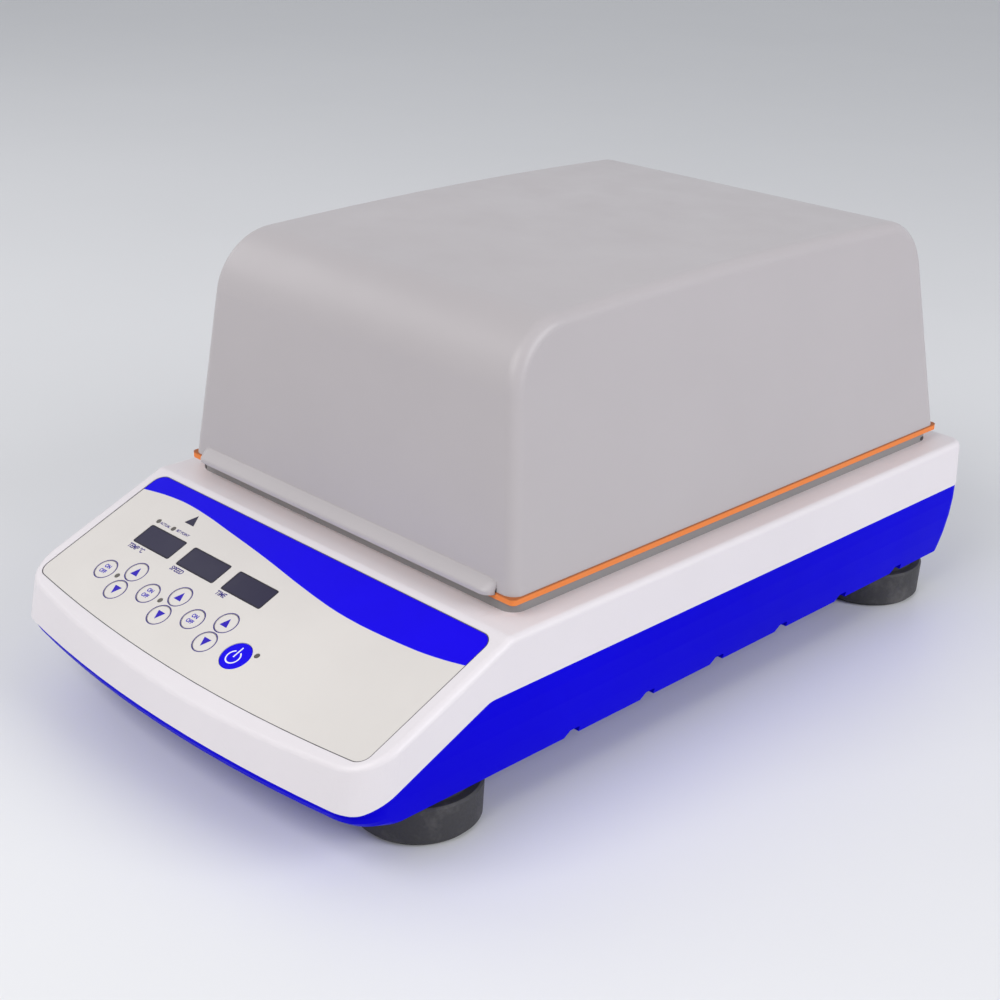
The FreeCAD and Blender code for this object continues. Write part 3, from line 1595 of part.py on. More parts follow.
def lid_crown_reach():
    """Half the length of the arch in the lid's top, between the straight shoulders."""
    return float((LID_REAR - LID_FRONT) / 2 - S.lid_shoulder)


def lid_crown_slope():
    """Slope of the lid's shoulders, so that the arch tops out at the lid's height."""
    return float(S.lid_crown) / (float((LID_REAR - LID_FRONT) / 2) - lid_crown_reach() / 2)


def lid_block(inset, low):
    """The lid's outer form, or its hollow when an inset is given."""
    arch = lid_crown_reach() / lid_crown_slope()
    radii = [0, float(S.lid_front_round) - inset, arch, float(S.lid_back_round) - inset, 0]
    # the profile runs the other way round, so that each corner's arc turns inwards
    block = side_prism(lid_points(inset, low)[::-1], radii[::-1], HALF)
    lean = float(tangent(S.lid_side_lean))
    base = float(LID_BASE)
    top = base + float(S.lid_height)
    foot = float(LID_HALF) - inset + (base - low) * lean
    head = float(LID_HALF) - inset - (top - base) * lean
    far = float(S.body_depth)
    ends = [Vector(-foot, -far, low), Vector(foot, -far, low), Vector(head, -far, top),
            Vector(-head, -far, top)]
    wire = Part.makePolygon(ends + ends[:1])
    return block.common(Part.Face(wire).extrude(Vector(0, 2 * far, 0)))


def lid_side_edges(block, low):
    """The edges where the lid's side walls meet its front, top and back."""
    chosen = []
    for edge in block.Edges:
        middle = edge.valueAt((edge.FirstParameter + edge.LastParameter) / 2)
        highest = max(vertex.Point.z for vertex in edge.Vertexes)
        if highest > low + float(S.wall) and abs(middle.x) > float(LID_HALF) / 2:
            chosen.append(edge)
    return chosen


def make_lid_shell():
    """Light grey lid: a drawn shell with soft edges, a flange and a finger lip."""
    base = float(LID_BASE)
    wall = float(S.lid_wall)
    low = base - wall
    outer = lid_block(0, base)
    outer = outer.makeFillet(float(S.lid_edge_round), lid_side_edges(outer, base))
    hollow = lid_block(wall, low)
    hollow = hollow.makeFillet(float(S.lid_inner_round), lid_side_edges(hollow, low))
    shell = outer.cut(hollow)
    inner = LID_HALF - S.lid_flange
    rim = plan_prism(rectangle(-inner, inner, LID_FRONT + S.lid_flange, LID_REAR - S.lid_flange),
                     [S.lid_edge_round] * 4, base, base + wall)
    flange = outer.common(solid_box(-HALF, HALF, FRONT, REAR, base, base + wall)).cut(rim)
    return shell.fuse([flange, lid_lip()])


def lid_lip():
    """Low finger lip on the lid's front: a concave flare with a blunt edge over the gasket."""
    base, front = float(LID_BASE), float(LID_FRONT)
    rise, reach, drop = float(S.lip_height), float(S.lip_reach), float(S.lip_drop)
    root = front + rise * float(tangent(S.lid_front_lean))
    back = front + float(S.lid_wall) / 2
    edge = front - reach
    under = edge + float(S.lip_thick)
    start, tip = Vector(0, root, base + rise), Vector(0, edge, base - drop + float(S.lip_thick))
    bend = Vector(0, front - reach * float(S.lip_flare), base + rise * 2 * float(S.lip_flare))
    corners = [tip, Vector(0, edge, base - drop), Vector(0, under, base - drop),
               Vector(0, under + drop, base), Vector(0, back, base), Vector(0, back, base + rise),
               start]
    edges = [Part.Arc(start, bend, tip).toShape()]
    edges += [Part.makeLine(a, b) for a, b in zip(corners, corners[1:])]
    half = float(S.lip_width) / 2
    flare = Part.Face(Part.Wire(edges)).extrude(Vector(2 * half, 0, 0))
    ends = plan_prism(rectangle(-half, half, edge, back), [reach, reach, 0, 0], base - rise,
                      base + 2 * rise)
    return flare.translated(Vector(-half, 0, 0)).common(ends)


def make_gasket():
    """Flat orange gasket, a band with small round corners under the lid."""
    owner = body("lid_gasket")
    outer = sketch(owner, "XY_Plane", RIM_TOP)
    half = GASKET_HALF
    rounded_rectangle(outer, -half, half, GASKET_FRONT, GASKET_REAR, S.gasket_corner)
    pad(owner, outer, S.gasket_thick)
    inner = sketch(owner, "XY_Plane", LID_BASE)
    band = S.gasket_band
    polygon(inner, [(-half + band, GASKET_FRONT + band), (half - band, GASKET_FRONT + band),
                    (half - band, GASKET_REAR - band), (-half + band, GASKET_REAR - band)])
    pocket(owner, inner, S.gasket_thick)
    return owner


def make_hinge_bracket(x):
    """Seat block with two ears that carry the hinge pin."""
    half, ear, radius = S.hinge_width / 2, S.hinge_ear, S.knuckle_radius
    gap = S.panel_fit
    y, z = HINGE_Y, HINGE_Z
    shape = solid_box(-half, half, y - S.hinge_front_reach + gap, REAR - S.edge_round / 10,
                      HINGE_SEAT, z - radius - S.knuckle_gap)
    for left in (-half, half - ear):
        shape = shape.fuse([
            solid_box(left, left + ear, y - radius, y + radius, HINGE_SEAT, z),
            solid_rod(radius, left, left + ear, y, z)])
    return shape.cut(solid_rod(S.hinge_pin_radius, -half, half, y, z)).removeSplitter().translated(
        Vector(x, 0, 0))


def make_hinge_pins():
    """Two pins, each pressed into the ears of a bracket."""
    pins = []
    for _, x in hinge_places():
        pin = doc.addObject("Part::Cylinder", "hinge_pin")
        bind(pin, "Radius", S.hinge_pin_radius)
        bind(pin, "Height", S.hinge_width)
        pin.Placement = Placement(Vector(), Rotation(Vector(0, 1, 0), 90))
        pins.append(place(pin, x - S.hinge_width / 2, HINGE_Y, HINGE_Z))
    return group("hinge_pins", pins)


def make_hinge_leaf(x):
    """Leaf on the back of the lid, with an arm down to the knuckle."""
    lean = tangent(S.lid_back_lean)
    thick, radius = S.leaf_thick, S.knuckle_radius
    y, z = HINGE_Y, HINGE_Z
    low, high = LID_BASE + S.leaf_lift, LID_BASE + S.leaf_height

    def back(level, out):
        return LID_REAR - (level - LID_BASE) * lean + out

    soft = thick / 2
    points = [(back(low, 0), low), (back(low, thick), low), (back(high - soft, thick), high - soft),
              (back(high, soft), high), (back(high, 0), high)]
    plate = side_prism(points, [0] * 5, S.hinge_width / 2 - S.lid_inset)
    brace = LID_BASE + S.leaf_height * S.leaf_brace
    points = [(back(low, thick / 4), low), (y - radius, z), (y + radius, z),
              (back(brace, thick), brace), (back(brace, thick / 4), brace)]
    half = S.hinge_width / 2 - S.hinge_ear - S.hinge_side_gap
    arm = side_prism(points, [0] * 5, half)
    knuckle = solid_rod(radius, -half, half, y, z)
    bore = solid_rod(S.hinge_pin_radius + S.fit_gap, -half, half, y, z)
    shape = plate.fuse([arm, knuckle]).cut(bore).removeSplitter()
    return shape.translated(Vector(x, 0, 0))


# Build every sub-part

def build():
    nodes = [
        feature("base_pan", make_base_pan()),
        feature("top_housing", make_top_housing()),
        feature("control_overlay", make_overlay(), PANEL),
        make_lenses(),
        make_lamp(),
        make_digit_modules(),
        make_key_switches(),
        make_display_board(),
        make_case_screws(),
        make_chamber_tub(),
        make_heater_mat(),
        make_probe(),
        make_tray(),
        make_tray_rails(),
        make_tray_mat(),
        make_tray_bosses(),
        make_tray_bearing(),
        make_drive_plate(),
        make_small_screws(),
        make_bearing_block(),
        make_main_bearings(),
        make_crankshaft(),
        make_counterweight(),
        make_crank_pulley(),
        feature("drive_belt", make_belt()),
        make_motor(),
        make_motor_pulley(),
        make_idler_posts(),
        make_control_board(),
        make_power_supply(),
        feature("power_inlet", make_inlet()),
        make_fuse_drawer(),
        feature("lid_shell", make_lid_shell()),
        make_gasket(),
        make_hinge_pins(),
    ]
    for name, (x, run) in zip(("temperature", "speed", "time"), window_places()):
        nodes.append(make_window("display_window_" + name, x, run))
    nodes += [make_key(*key) for key in key_places()]
    nodes += [make_foot(*foot) for foot in foot_places()]
    for index, (x, y) in enumerate(idler_terms(), start=1):
        nodes.append(make_idler(index, x, y))
    for name, x in hinge_places():
        nodes.append(feature("hinge_bracket_" + name, make_hinge_bracket(x)))
        nodes.append(feature("hinge_leaf_" + name, make_hinge_leaf(x)))
    return nodes


def check_and_write(nodes):
    """Stop on any failed object, then write one file for each sub-part."""
    doc.recompute()
    for item in doc.Objects:
        if "Invalid" in item.State or "Error" in item.State:
            raise RuntimeError("%s did not build: %s" % (item.Label, item.State))
    os.makedirs("parts", exist_ok=True)
    for item in nodes:
        shape = item.Shape
        if shape.isNull() or not shape.isValid() or not shape.Solids:
            raise RuntimeError("%s has no valid solid" % item.Label)
        shape.exportStep("parts/%s.step" % item.Label)


check_and_write(build())
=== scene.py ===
import bpy
import bmesh
import math
import json
from mathutils import Matrix, Vector


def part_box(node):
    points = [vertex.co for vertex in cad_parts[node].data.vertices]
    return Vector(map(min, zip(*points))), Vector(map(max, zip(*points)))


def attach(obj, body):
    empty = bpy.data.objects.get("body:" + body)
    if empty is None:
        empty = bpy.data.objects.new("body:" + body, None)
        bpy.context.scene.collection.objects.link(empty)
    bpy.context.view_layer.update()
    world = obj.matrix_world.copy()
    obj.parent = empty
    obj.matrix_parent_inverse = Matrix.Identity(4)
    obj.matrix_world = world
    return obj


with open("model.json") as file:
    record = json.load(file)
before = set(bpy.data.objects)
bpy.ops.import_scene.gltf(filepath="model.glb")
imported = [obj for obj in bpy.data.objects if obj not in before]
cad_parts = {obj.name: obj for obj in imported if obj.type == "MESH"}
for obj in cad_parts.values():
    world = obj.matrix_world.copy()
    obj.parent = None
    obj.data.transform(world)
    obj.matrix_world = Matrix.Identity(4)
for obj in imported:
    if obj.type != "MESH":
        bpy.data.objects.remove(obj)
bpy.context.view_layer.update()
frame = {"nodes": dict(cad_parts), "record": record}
NODES = frame["nodes"]
MM = 0.001

# The sloping panel: the line where it leaves the deck, its slope, and the level that print lies
# on, just under the top of the overlay (millimetres)
PANEL_BACK = -122.55
DECK_LEVEL = 86.5
PANEL_SLOPE = 22.8
FILM = -0.2
PRINT_THICK = 0.03
PANEL = (Matrix.Translation((0, PANEL_BACK * MM, DECK_LEVEL * MM))
         @ Matrix.Rotation(math.radians(PANEL_SLOPE), 4, "X"))

# The overlay on the panel, as half widths and distances down the slope
OVERLAY_BACK, OVERLAY_TIP = 3.6, 87.1
OVERLAY_HALF_BACK, OVERLAY_HALF_FRONT = 116.4, 116.9
OVERLAY_SIDE_RUN = 76.2
OVERLAY_CORNER = 6.0
OVERLAY_BOW = 939.7

# Displays and keys on the panel
COLUMN_FIRST, COLUMN_PITCH = -74.7, 34.4
COLUMNS = ("temperature", "speed", "time")
WINDOW_RUN, WINDOW_HALF, WINDOW_RISE = 36.6, 13.4, 5.5
WINDOW_LINE = 0.58
KEY_PLACES = (("on", -9.8, 62.3), ("up", 7.0, 56.0), ("down", 7.0, 68.7))
KEY_RING = (5.6, 6.1)
POWER_X, POWER_RUN = 20.8, 68.1
POWER_RING = (3.15, 3.8)
POWER_BAR = 0.35

# The lid's foot, its front wall's lean, and the finger lip along it
LID_BASE, LID_FRONT = 95.0, -110.4
LID_FRONT_LEAN = math.tan(math.radians(5.7))
LIP_HALF, LIP_REACH, LIP_TOP = 101.4, 5.15, 5.3

# The hinge leaves on the lid's back wall, the chamber rim's rounded corners, and the level of the
# black pads of painted shade at two of them
LEAF_X, LEAF_FACE = 75, 203.6
LEAF_LEAN = math.tan(math.radians(8.4))
LEAF_SCREW_ACROSS, LEAF_SCREW_LEVELS = 10.6, (103, 114)
RIM_CORNER, RIM_GAP_SHADE_LEVEL = 7, 88.0


# Camera at the photograph's angle

def make_camera():
    right = Vector((0.69965, 0.71419, 0.02046))
    up = Vector((-0.29168, 0.25937, 0.92068))
    ahead = Vector((-0.65224, 0.65012, -0.38978))
    data = bpy.data.cameras.new("camera")
    data.lens = 62.012
    data.sensor_width = 36
    data.clip_start = 0.02
    camera = bpy.data.objects.new("camera", data)
    bpy.context.scene.collection.objects.link(camera)
    turn = Matrix((right, up, -ahead)).transposed().to_quaternion().to_matrix().to_4x4()
    camera.matrix_world = Matrix.Translation((0.551893, -0.558484, 0.404941)) @ turn
    bpy.context.scene.camera = camera


make_camera()
bpy.context.scene.view_settings.view_transform = "Standard"


# Materials

def new_material(name):
    """A node material, its tree and its shader."""
    mat = bpy.data.materials.new(name)
    mat.use_nodes = True
    return mat, mat.node_tree, mat.node_tree.nodes["Principled BSDF"]


def add(tree, kind, **values):
    """A node with its inputs and properties set."""
    node = tree.nodes.new(kind)
    for key, value in values.items():
        if key in node.inputs:
            node.inputs[key].default_value = value
        else:
            setattr(node, key, value)
    return node


def noise(tree, scale, detail=3.0, rough=0.55, stretch=(1, 1, 1)):
    """Noise in the piece's own coordinates."""
    spot = add(tree, "ShaderNodeTexCoord")
    turn_node = add(tree, "ShaderNodeMapping")
    turn_node.inputs["Scale"].default_value = stretch
    tree.links.new(spot.outputs["Object"], turn_node.inputs["Vector"])
    node = add(tree, "ShaderNodeTexNoise", Scale=scale, Detail=detail, Roughness=rough)
    tree.links.new(turn_node.outputs["Vector"], node.inputs["Vector"])
    return node


def band(tree, source, low, high, start, end):
    """A value moved from one range to another."""
    node = add(tree, "ShaderNodeMapRange")
    node.inputs["From Min"].default_value = low
    node.inputs["From Max"].default_value = high
    node.inputs["To Min"].default_value = start
    node.inputs["To Max"].default_value = end
    tree.links.new(source, node.inputs["Value"])
    return node.outputs["Result"]


def blend_colour(tree, factor, first, second):
    """Two colours, or two colour outputs, mixed by a factor."""
    node = add(tree, "ShaderNodeMix", data_type="RGBA")
    for key, value in ((6, first), (7, second)):
        if isinstance(value, tuple):
            node.inputs[key].default_value = (*value, 1)
        else:
            tree.links.new(value, node.inputs[key])
    tree.links.new(factor, node.inputs[0])
    return node.outputs[2]


def bump(tree, height, strength, distance, normal=None):
    """A bumped normal, laid over another one when there is one."""
    node = add(tree, "ShaderNodeBump", Strength=strength, Distance=distance)
    tree.links.new(height, node.inputs["Height"])
    if normal is not None:
        tree.links.new(normal, node.inputs["Normal"])
    return node.outputs["Normal"]


def tint(colour, factor):
    """A colour made lighter or darker."""
    return tuple(min(1.0, channel * factor) for channel in colour)


def plastic(name, colour, rough, grain=0.35, grain_scale=1500, mottle=0.05, mottle_scale=9,
            scuff=0.0, scuff_colour=None, specular=0.5, wave=0.12):
    """Moulded plastic: fine grain, long waves, slow colour drift, uneven gloss and scuffs."""
    mat, tree, shader = new_material(name)
    drift = noise(tree, mottle_scale, 4)
    base = blend_colour(tree, band(tree, drift.outputs["Fac"], 0.35, 0.65, 0, 1),
                        tint(colour, 1 - mottle), tint(colour, 1 + mottle * 0.5))
    if scuff:
        marks = noise(tree, 60, 6, 0.7, (1, 0.35, 1))
        amount = band(tree, marks.outputs["Fac"], 0.66, 0.78, 0, scuff)
        base = blend_colour(tree, amount, base, scuff_colour or tint(colour, 0.6))
    tree.links.new(base, shader.inputs["Base Color"])
    gloss = noise(tree, 35, 5)
    tree.links.new(band(tree, gloss.outputs["Fac"], 0.3, 0.7, rough - 0.05, rough + 0.06),
                   shader.inputs["Roughness"])
    fine = noise(tree, grain_scale, 2)
    waves = noise(tree, 40, 2)
    first = bump(tree, waves.outputs["Fac"], wave, 0.0002)
    tree.links.new(bump(tree, fine.outputs["Fac"], grain, 0.00006, first),
                   shader.inputs["Normal"])
    shader.inputs["Specular IOR Level"].default_value = specular
    return mat


def metal(name, colour, rough, brushed=(1, 1, 1), streak=0.08):
    """Metal with machining or brushing streaks and a soft tarnish."""
    mat, tree, shader = new_material(name)
    lines = noise(tree, 260, 3, 0.6, brushed)
    cloud = noise(tree, 25, 4)
    base = blend_colour(tree, band(tree, cloud.outputs["Fac"], 0.35, 0.65, 0, 1),
                        tint(colour, 0.88), colour)
    tree.links.new(base, shader.inputs["Base Color"])
    tree.links.new(band(tree, lines.outputs["Fac"], 0.3, 0.7, rough - streak, rough + streak),
                   shader.inputs["Roughness"])
    tree.links.new(bump(tree, lines.outputs["Fac"], 0.2, 0.00005), shader.inputs["Normal"])
    shader.inputs["Metallic"].default_value = 1.0
    return mat


def rubber(name, colour, rough=0.75, dust=0.15, dust_colour=(0.25, 0.24, 0.23), grain=0.5,
           painted_shade_levels=None):
    """Rubber with a fine pitted skin, a little dust and, between two levels, a darker band of
    painted shade for a shadow falling there.
    """
    mat, tree, shader = new_material(name)
    cloud = noise(tree, 55, 6, 0.65)
    base = blend_colour(tree, band(tree, cloud.outputs["Fac"], 0.5, 0.75, 0, dust), colour,
                        dust_colour)
    # Painted shade: the colour darkens between the two levels, standing in for the shadow cast on
    # the part there.
    if painted_shade_levels:
        spot = add(tree, "ShaderNodeTexCoord")
        parts = add(tree, "ShaderNodeSeparateXYZ")
        tree.links.new(spot.outputs["Object"], parts.inputs[0])
        low, high = (level * MM for level in painted_shade_levels)
        base = blend_colour(tree, band(tree, parts.outputs["Z"], low, high, 0, 0.75), base,
                            tint(colour, 0.3))
    tree.links.new(base, shader.inputs["Base Color"])
    pits = noise(tree, 900, 4, 0.6)
    tree.links.new(band(tree, pits.outputs["Fac"], 0.3, 0.7, rough - 0.08, rough + 0.1),
                   shader.inputs["Roughness"])
    tree.links.new(bump(tree, pits.outputs["Fac"], grain, 0.0001), shader.inputs["Normal"])
    return mat


def printed(name, colour, rough=0.38, specular=0.15):
    """Ink on a plastic film: almost even, with a faint mottle and the film's own grain."""
    return plastic(name, colour, rough, grain=0.15, grain_scale=2200, mottle=0.03,
                   mottle_scale=30, specular=specular)


WHITE = plastic("housing_white", (0.70, 0.665, 0.69), 0.42, grain=0.5, grain_scale=1300,
                mottle=0.025, scuff=0.22, scuff_colour=(0.42, 0.38, 0.36))
BLUE = plastic("pan_blue", (0.003, 0.0004, 0.61), 0.36, grain=0.35, grain_scale=1300,
               mottle=0.08, mottle_scale=6, scuff=0.05, scuff_colour=(0.05, 0.05, 0.70),
               specular=0.018, wave=0.02)
LID = plastic("lid_grey", (0.435, 0.407, 0.417), 0.33, grain=0.06, grain_scale=4000,
              mottle=0.03, mottle_scale=5, specular=0.32, wave=0.0)
OVERLAY = plastic("overlay_film", (0.645, 0.615, 0.585), 0.40, grain=0.3, grain_scale=1800,
                  mottle=0.03, mottle_scale=14, scuff=0.14, scuff_colour=(0.46, 0.42, 0.37))
KEY = plastic("key_film", (0.66, 0.63, 0.60), 0.40, grain=0.3, grain_scale=1800, mottle=0.02)
INK = printed("ink_blue", (0.008, 0.001, 0.72), specular=0.05)
ARROW_INK = printed("ink_deep_blue", (0.022, 0.006, 0.42))
DARK_INK = printed("ink_navy", (0.045, 0.033, 0.20))
# Dark grey of the line round the overlay: painted shade for the shadow at the edge of its recess.
EDGE_SHADE_INK = printed("overlay_edge_shade_grey", (0.10, 0.095, 0.105))
WHITE_INK = printed("ink_white", (0.82, 0.82, 0.84))
WINDOW = plastic("window_dark", (0.024, 0.021, 0.050), 0.18, grain=0.05, mottle=0.1,
                 specular=0.12)
WINDOW_EDGE = printed("window_edge", (0.018, 0.016, 0.03))
LENS = plastic("lens_smoked", (0.085, 0.075, 0.065), 0.25, grain=0.1, mottle=0.2, mottle_scale=90,
               specular=0.3)
# The gasket's top, under the lid's edge, is darkened as painted shade for the lid's shadow.
ORANGE = rubber("gasket_orange", (0.76, 0.205, 0.035), 0.62, dust=0.25,
                dust_colour=(0.66, 0.27, 0.10), grain=0.35, painted_shade_levels=(94.2, 94.9))
TUB = plastic("tub_grey", (0.245, 0.24, 0.24), 0.45, grain=0.4, mottle=0.06)
FOOT = rubber("foot_rubber", (0.032, 0.031, 0.034), 0.62, dust=0.30)
MAT = rubber("mat_rubber", (0.035, 0.036, 0.040), 0.7, dust=0.10)
HEATER = rubber("heater_silicone", (0.55, 0.16, 0.05), 0.6, dust=0.1,
                dust_colour=(0.6, 0.25, 0.12))
BELT = rubber("belt_rubber", (0.03, 0.03, 0.03), 0.7, dust=0.1)
BLACK = plastic("black_plastic", (0.022, 0.022, 0.025), 0.42, grain=0.5, mottle=0.15)
NYLON = plastic("natural_nylon", (0.74, 0.72, 0.66), 0.45, grain=0.2, mottle=0.04)
STEEL = metal("bright_steel", (0.62, 0.62, 0.63), 0.26, (1, 1, 14))
SCREW = metal("screw_steel", (0.55, 0.55, 0.56), 0.32)
PLATE = metal("plate_steel", (0.56, 0.57, 0.58), 0.38, (10, 1, 1))
CAST = metal("cast_aluminium", (0.60, 0.60, 0.61), 0.44)
TRAY = metal("tray_aluminium", (0.70, 0.71, 0.72), 0.36, (1, 12, 1))
BRASS = metal("weight_brass", (0.66, 0.48, 0.20), 0.32)
BOARD = plastic("circuit_board", (0.02, 0.16, 0.07), 0.35, grain=0.1, mottle=0.15,
                mottle_scale=120)

LOOKS = {
    "white_moulding": WHITE, "blue_moulding": BLUE, "overlay_film": OVERLAY,
    "window_dark": WINDOW, "lens_clear": LENS, "key_film": KEY, "power_key_film": INK,
    "circuit_board": BOARD, "black_plastic": BLACK, "screw_steel": SCREW, "tub_grey": TUB,
    "heater_orange": HEATER, "bright_steel": STEEL, "plate_steel": PLATE, "cast_block": CAST,
    "belt_rubber": BELT, "weight_brass": BRASS, "tray_aluminium": TRAY, "mat_rubber": MAT,
    "lid_grey": LID, "gasket_orange": ORANGE, "foot_rubber": FOOT, "pulley_plastic": NYLON,
}
for part in frame["record"]["subparts"]:
    for holder in NODES[part["node"]].material_slots:
        holder.material = LOOKS[part["material_slot"]]


# Helpers for pieces. Those on the panel are drawn as (x, distance down the slope), in millimetres


def piece(name, verts, faces, mat, body, matrix=None, smooth=False):
    """A mesh piece that rides on a body. Its faces are turned to point outwards."""
    mesh = bpy.data.meshes.new(name)
    mesh.from_pydata([tuple(spot) for spot in verts], [], faces)
    shape = bmesh.new()
    shape.from_mesh(mesh)
    bmesh.ops.recalc_face_normals(shape, faces=shape.faces)
    shape.to_mesh(mesh)
    shape.free()
    for face in mesh.polygons:
        face.use_smooth = smooth
    mesh.materials.append(mat)
    return put(name, mesh, body, matrix)


def put(name, mesh, body, matrix=None):
    """An object for a mesh, in its place and on its body."""
    thing = bpy.data.objects.new(name, mesh)
    bpy.context.scene.collection.objects.link(thing)
    if matrix is not None:
        thing.matrix_world = matrix
    bpy.context.view_layer.update()
    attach(thing, body)
    return thing


def prism_faces(count):
    """Faces of a prism whose two outlines have as many points and follow each other."""
    sides = [(i, (i + 1) % count, (i + 1) % count + count, i + count) for i in range(count)]
    return [tuple(range(count))[::-1], tuple(range(count, 2 * count))] + sides


def print_and_shade_loop(name, inner, outer, mat, low=FILM):
    """A thin line between two closed outlines that have as many points: print, or a line of
    painted shade.
    """
    count = len(inner)
    verts = [Vector((x, -run, level)) * MM for loop in (inner, outer)
             for level in (low, low + PRINT_THICK) for x, run in loop]
    faces = []
    for i in range(count):
        j = (i + 1) % count
        for a, b in ((0, 1), (1, 3), (3, 2), (2, 0)):
            faces.append((a * count + i, a * count + j, b * count + j, b * count + i))
    piece(name, verts, faces, mat, "base", PANEL)


def print_shape(name, outline, mat, body="base"):
    """A closed outline printed on the panel or on a key, as a very thin layer."""
    verts = [Vector((x, -run, level)) * MM for level in (FILM, FILM + PRINT_THICK)
             for x, run in outline]
    piece(name, verts, prism_faces(len(outline)), mat, body, PANEL)


def print_ring(name, x, run, radii, mat, body="base", start=0, end=360, steps=64):
    """A printed ring or arc. Angles run clockwise from the top."""
    full = end - start >= 360
    count = steps if full else steps + 1
    verts = []
    for index in range(count):
        angle = math.radians(start + (end - start) * index / steps)
        for radius in radii:
            for level in (FILM, FILM + PRINT_THICK):
                verts.append(Vector((x + radius * math.sin(angle),
                                     -run + radius * math.cos(angle), level)) * MM)
    faces = []
    for index in range(count if full else count - 1):
        a, b = 4 * index, 4 * ((index + 1) % count)
        faces += [(a, b, b + 2, a + 2), (a + 1, a + 3, b + 3, b + 1), (a, a + 1, b + 1, b),
                  (a + 2, b + 2, b + 3, a + 3)]
    if not full:
        last = 4 * (count - 1)
        faces += [(0, 2, 3, 1), (last, last + 1, last + 3, last + 2)]
    piece(name, verts, faces, mat, body, PANEL)


def letters(name, words, x, run, size, mat, body="base", shear=0.0, stretch=1.0, bold=0.0):
    """Generic function lettering as a thin printed layer, centred on a point of the panel."""
    curve = bpy.data.curves.new(name, "FONT")
    curve.body = words
    curve.size = size * MM
    curve.align_x = "CENTER"
    curve.align_y = "CENTER"
    curve.shear = shear
    curve.offset = bold * MM
    curve.extrude = PRINT_THICK / 2 * MM
    holder = bpy.data.objects.new(name + "_curve", curve)
    bpy.context.scene.collection.objects.link(holder)
    bpy.context.view_layer.update()
    mesh = bpy.data.meshes.new_from_object(
        holder.evaluated_get(bpy.context.evaluated_depsgraph_get()))
    bpy.data.objects.remove(holder)
    bpy.data.curves.remove(curve)
    mesh.name = name
    mesh.materials.clear()
    mesh.materials.append(mat)
    middle = Vector((x, -run, FILM + PRINT_THICK / 2)) * MM
    put(name, mesh, body,
        PANEL @ Matrix.Translation(middle) @ Matrix.Diagonal((stretch, 1, 1, 1)))


def smooth_line(points, steps=8):
    """A smooth line through given points."""
    line = []
    for index in range(len(points) - 1):
        before = points[max(index - 1, 0)]
        a, b = points[index], points[index + 1]
        after = points[min(index + 2, len(points) - 1)]
        for step in range(steps):
            t = step / steps
            line.append(tuple(
                0.5 * (2 * a[k] + (b[k] - before[k]) * t
                       + (2 * before[k] - 5 * a[k] + 4 * b[k] - after[k]) * t * t
                       + (3 * a[k] - before[k] - 3 * b[k] + after[k]) * t ** 3)
                for k in (0, 1)))
    return line + [points[-1]]


def side_at(run):
    """Half width of the overlay at a distance down the slope."""
    spread = OVERLAY_HALF_FRONT - OVERLAY_HALF_BACK
    return OVERLAY_HALF_BACK + (run - OVERLAY_BACK) * spread / OVERLAY_SIDE_RUN


def corner(x, run, radius, start, end, steps=8):
    """Points on an arc. Angles run clockwise from the top."""
    return [(x + radius * math.sin(math.radians(start + (end - start) * i / steps)),
             run - radius * math.cos(math.radians(start + (end - start) * i / steps)))
            for i in range(steps + 1)]


def overlay_outline(grow):
    """The overlay's closed outline, grown by a distance: straight back and sides, bowed front."""
    radius = OVERLAY_CORNER + grow
    back, tip = OVERLAY_BACK - grow, OVERLAY_TIP + grow
    bow = OVERLAY_BOW + grow
    hub = tip - bow
    side = OVERLAY_HALF_FRONT + grow - radius
    run = hub + math.sqrt((bow - radius) ** 2 - side ** 2)
    swing = math.degrees(math.atan2(side, run - hub))
    front = [(bow * math.sin(math.radians(angle)), hub + bow * math.cos(math.radians(angle)))
             for angle in (swing * (1 - step / 20) for step in range(1, 40))]
    half = OVERLAY_HALF_BACK + grow - radius
    return (corner(half, back + radius, radius, 0, 90) + corner(side, run, radius, 90, 180 - swing)
            + front + corner(-side, run, radius, swing - 180, -90)
            + corner(-half, back + radius, radius, -90, 0))


def rounded_box(x, run, half_width, half_height, radius):
    """A closed rounded rectangle round a point of the panel."""
    a, b = half_width - radius, half_height - radius
    return (corner(x + a, run - b, radius, 0, 90) + corner(x + a, run + b, radius, 90, 180)
            + corner(x - a, run + b, radius, 180, 270) + corner(x - a, run - b, radius, 270, 360))


# Print on the panel, and painted shade: a dark grey line round the overlay standing in for the
# shadow at the edge of its recess, the blue band along its back with one long wave in front, and
# the lines round the display windows

print_and_shade_loop("overlay_edge_shade", overlay_outline(-0.22), overlay_outline(0.12), EDGE_SHADE_INK)
wave_edge = smooth_line([(-side_at(15.5), 15.5), (-100.8, 13.0), (-84.5, 12.0), (-65.7, 13.1),
                         (-48.7, 15.0), (-27.5, 17.4), (-9.0, 19.8), (9.5, 22.5), (26.8, 24.7),
                         (41.2, 26.1), (55.6, 26.6), (67.4, 26.4), (80.4, 25.8), (93.7, 24.8),
                         (106, 23.0), (side_at(20.8), 20.8)])
back_x, back_run = OVERLAY_HALF_BACK - OVERLAY_CORNER, OVERLAY_BACK + OVERLAY_CORNER
back_edge = (corner(back_x, back_run, OVERLAY_CORNER, 90, 0)
             + corner(-back_x, back_run, OVERLAY_CORNER, 0, -90))
print_shape("band_blue", wave_edge + back_edge, INK)
for index, title in enumerate(COLUMNS):
    x = COLUMN_FIRST + COLUMN_PITCH * index
    inner = rounded_box(x, WINDOW_RUN, WINDOW_HALF, WINDOW_RISE, 0.6)
    outer = rounded_box(x, WINDOW_RUN, WINDOW_HALF + WINDOW_LINE, WINDOW_RISE + WINDOW_LINE, 1.0)
    print_and_shade_loop("window_line_" + title, inner, outer, WINDOW_EDGE, low=FILM + 0.01)

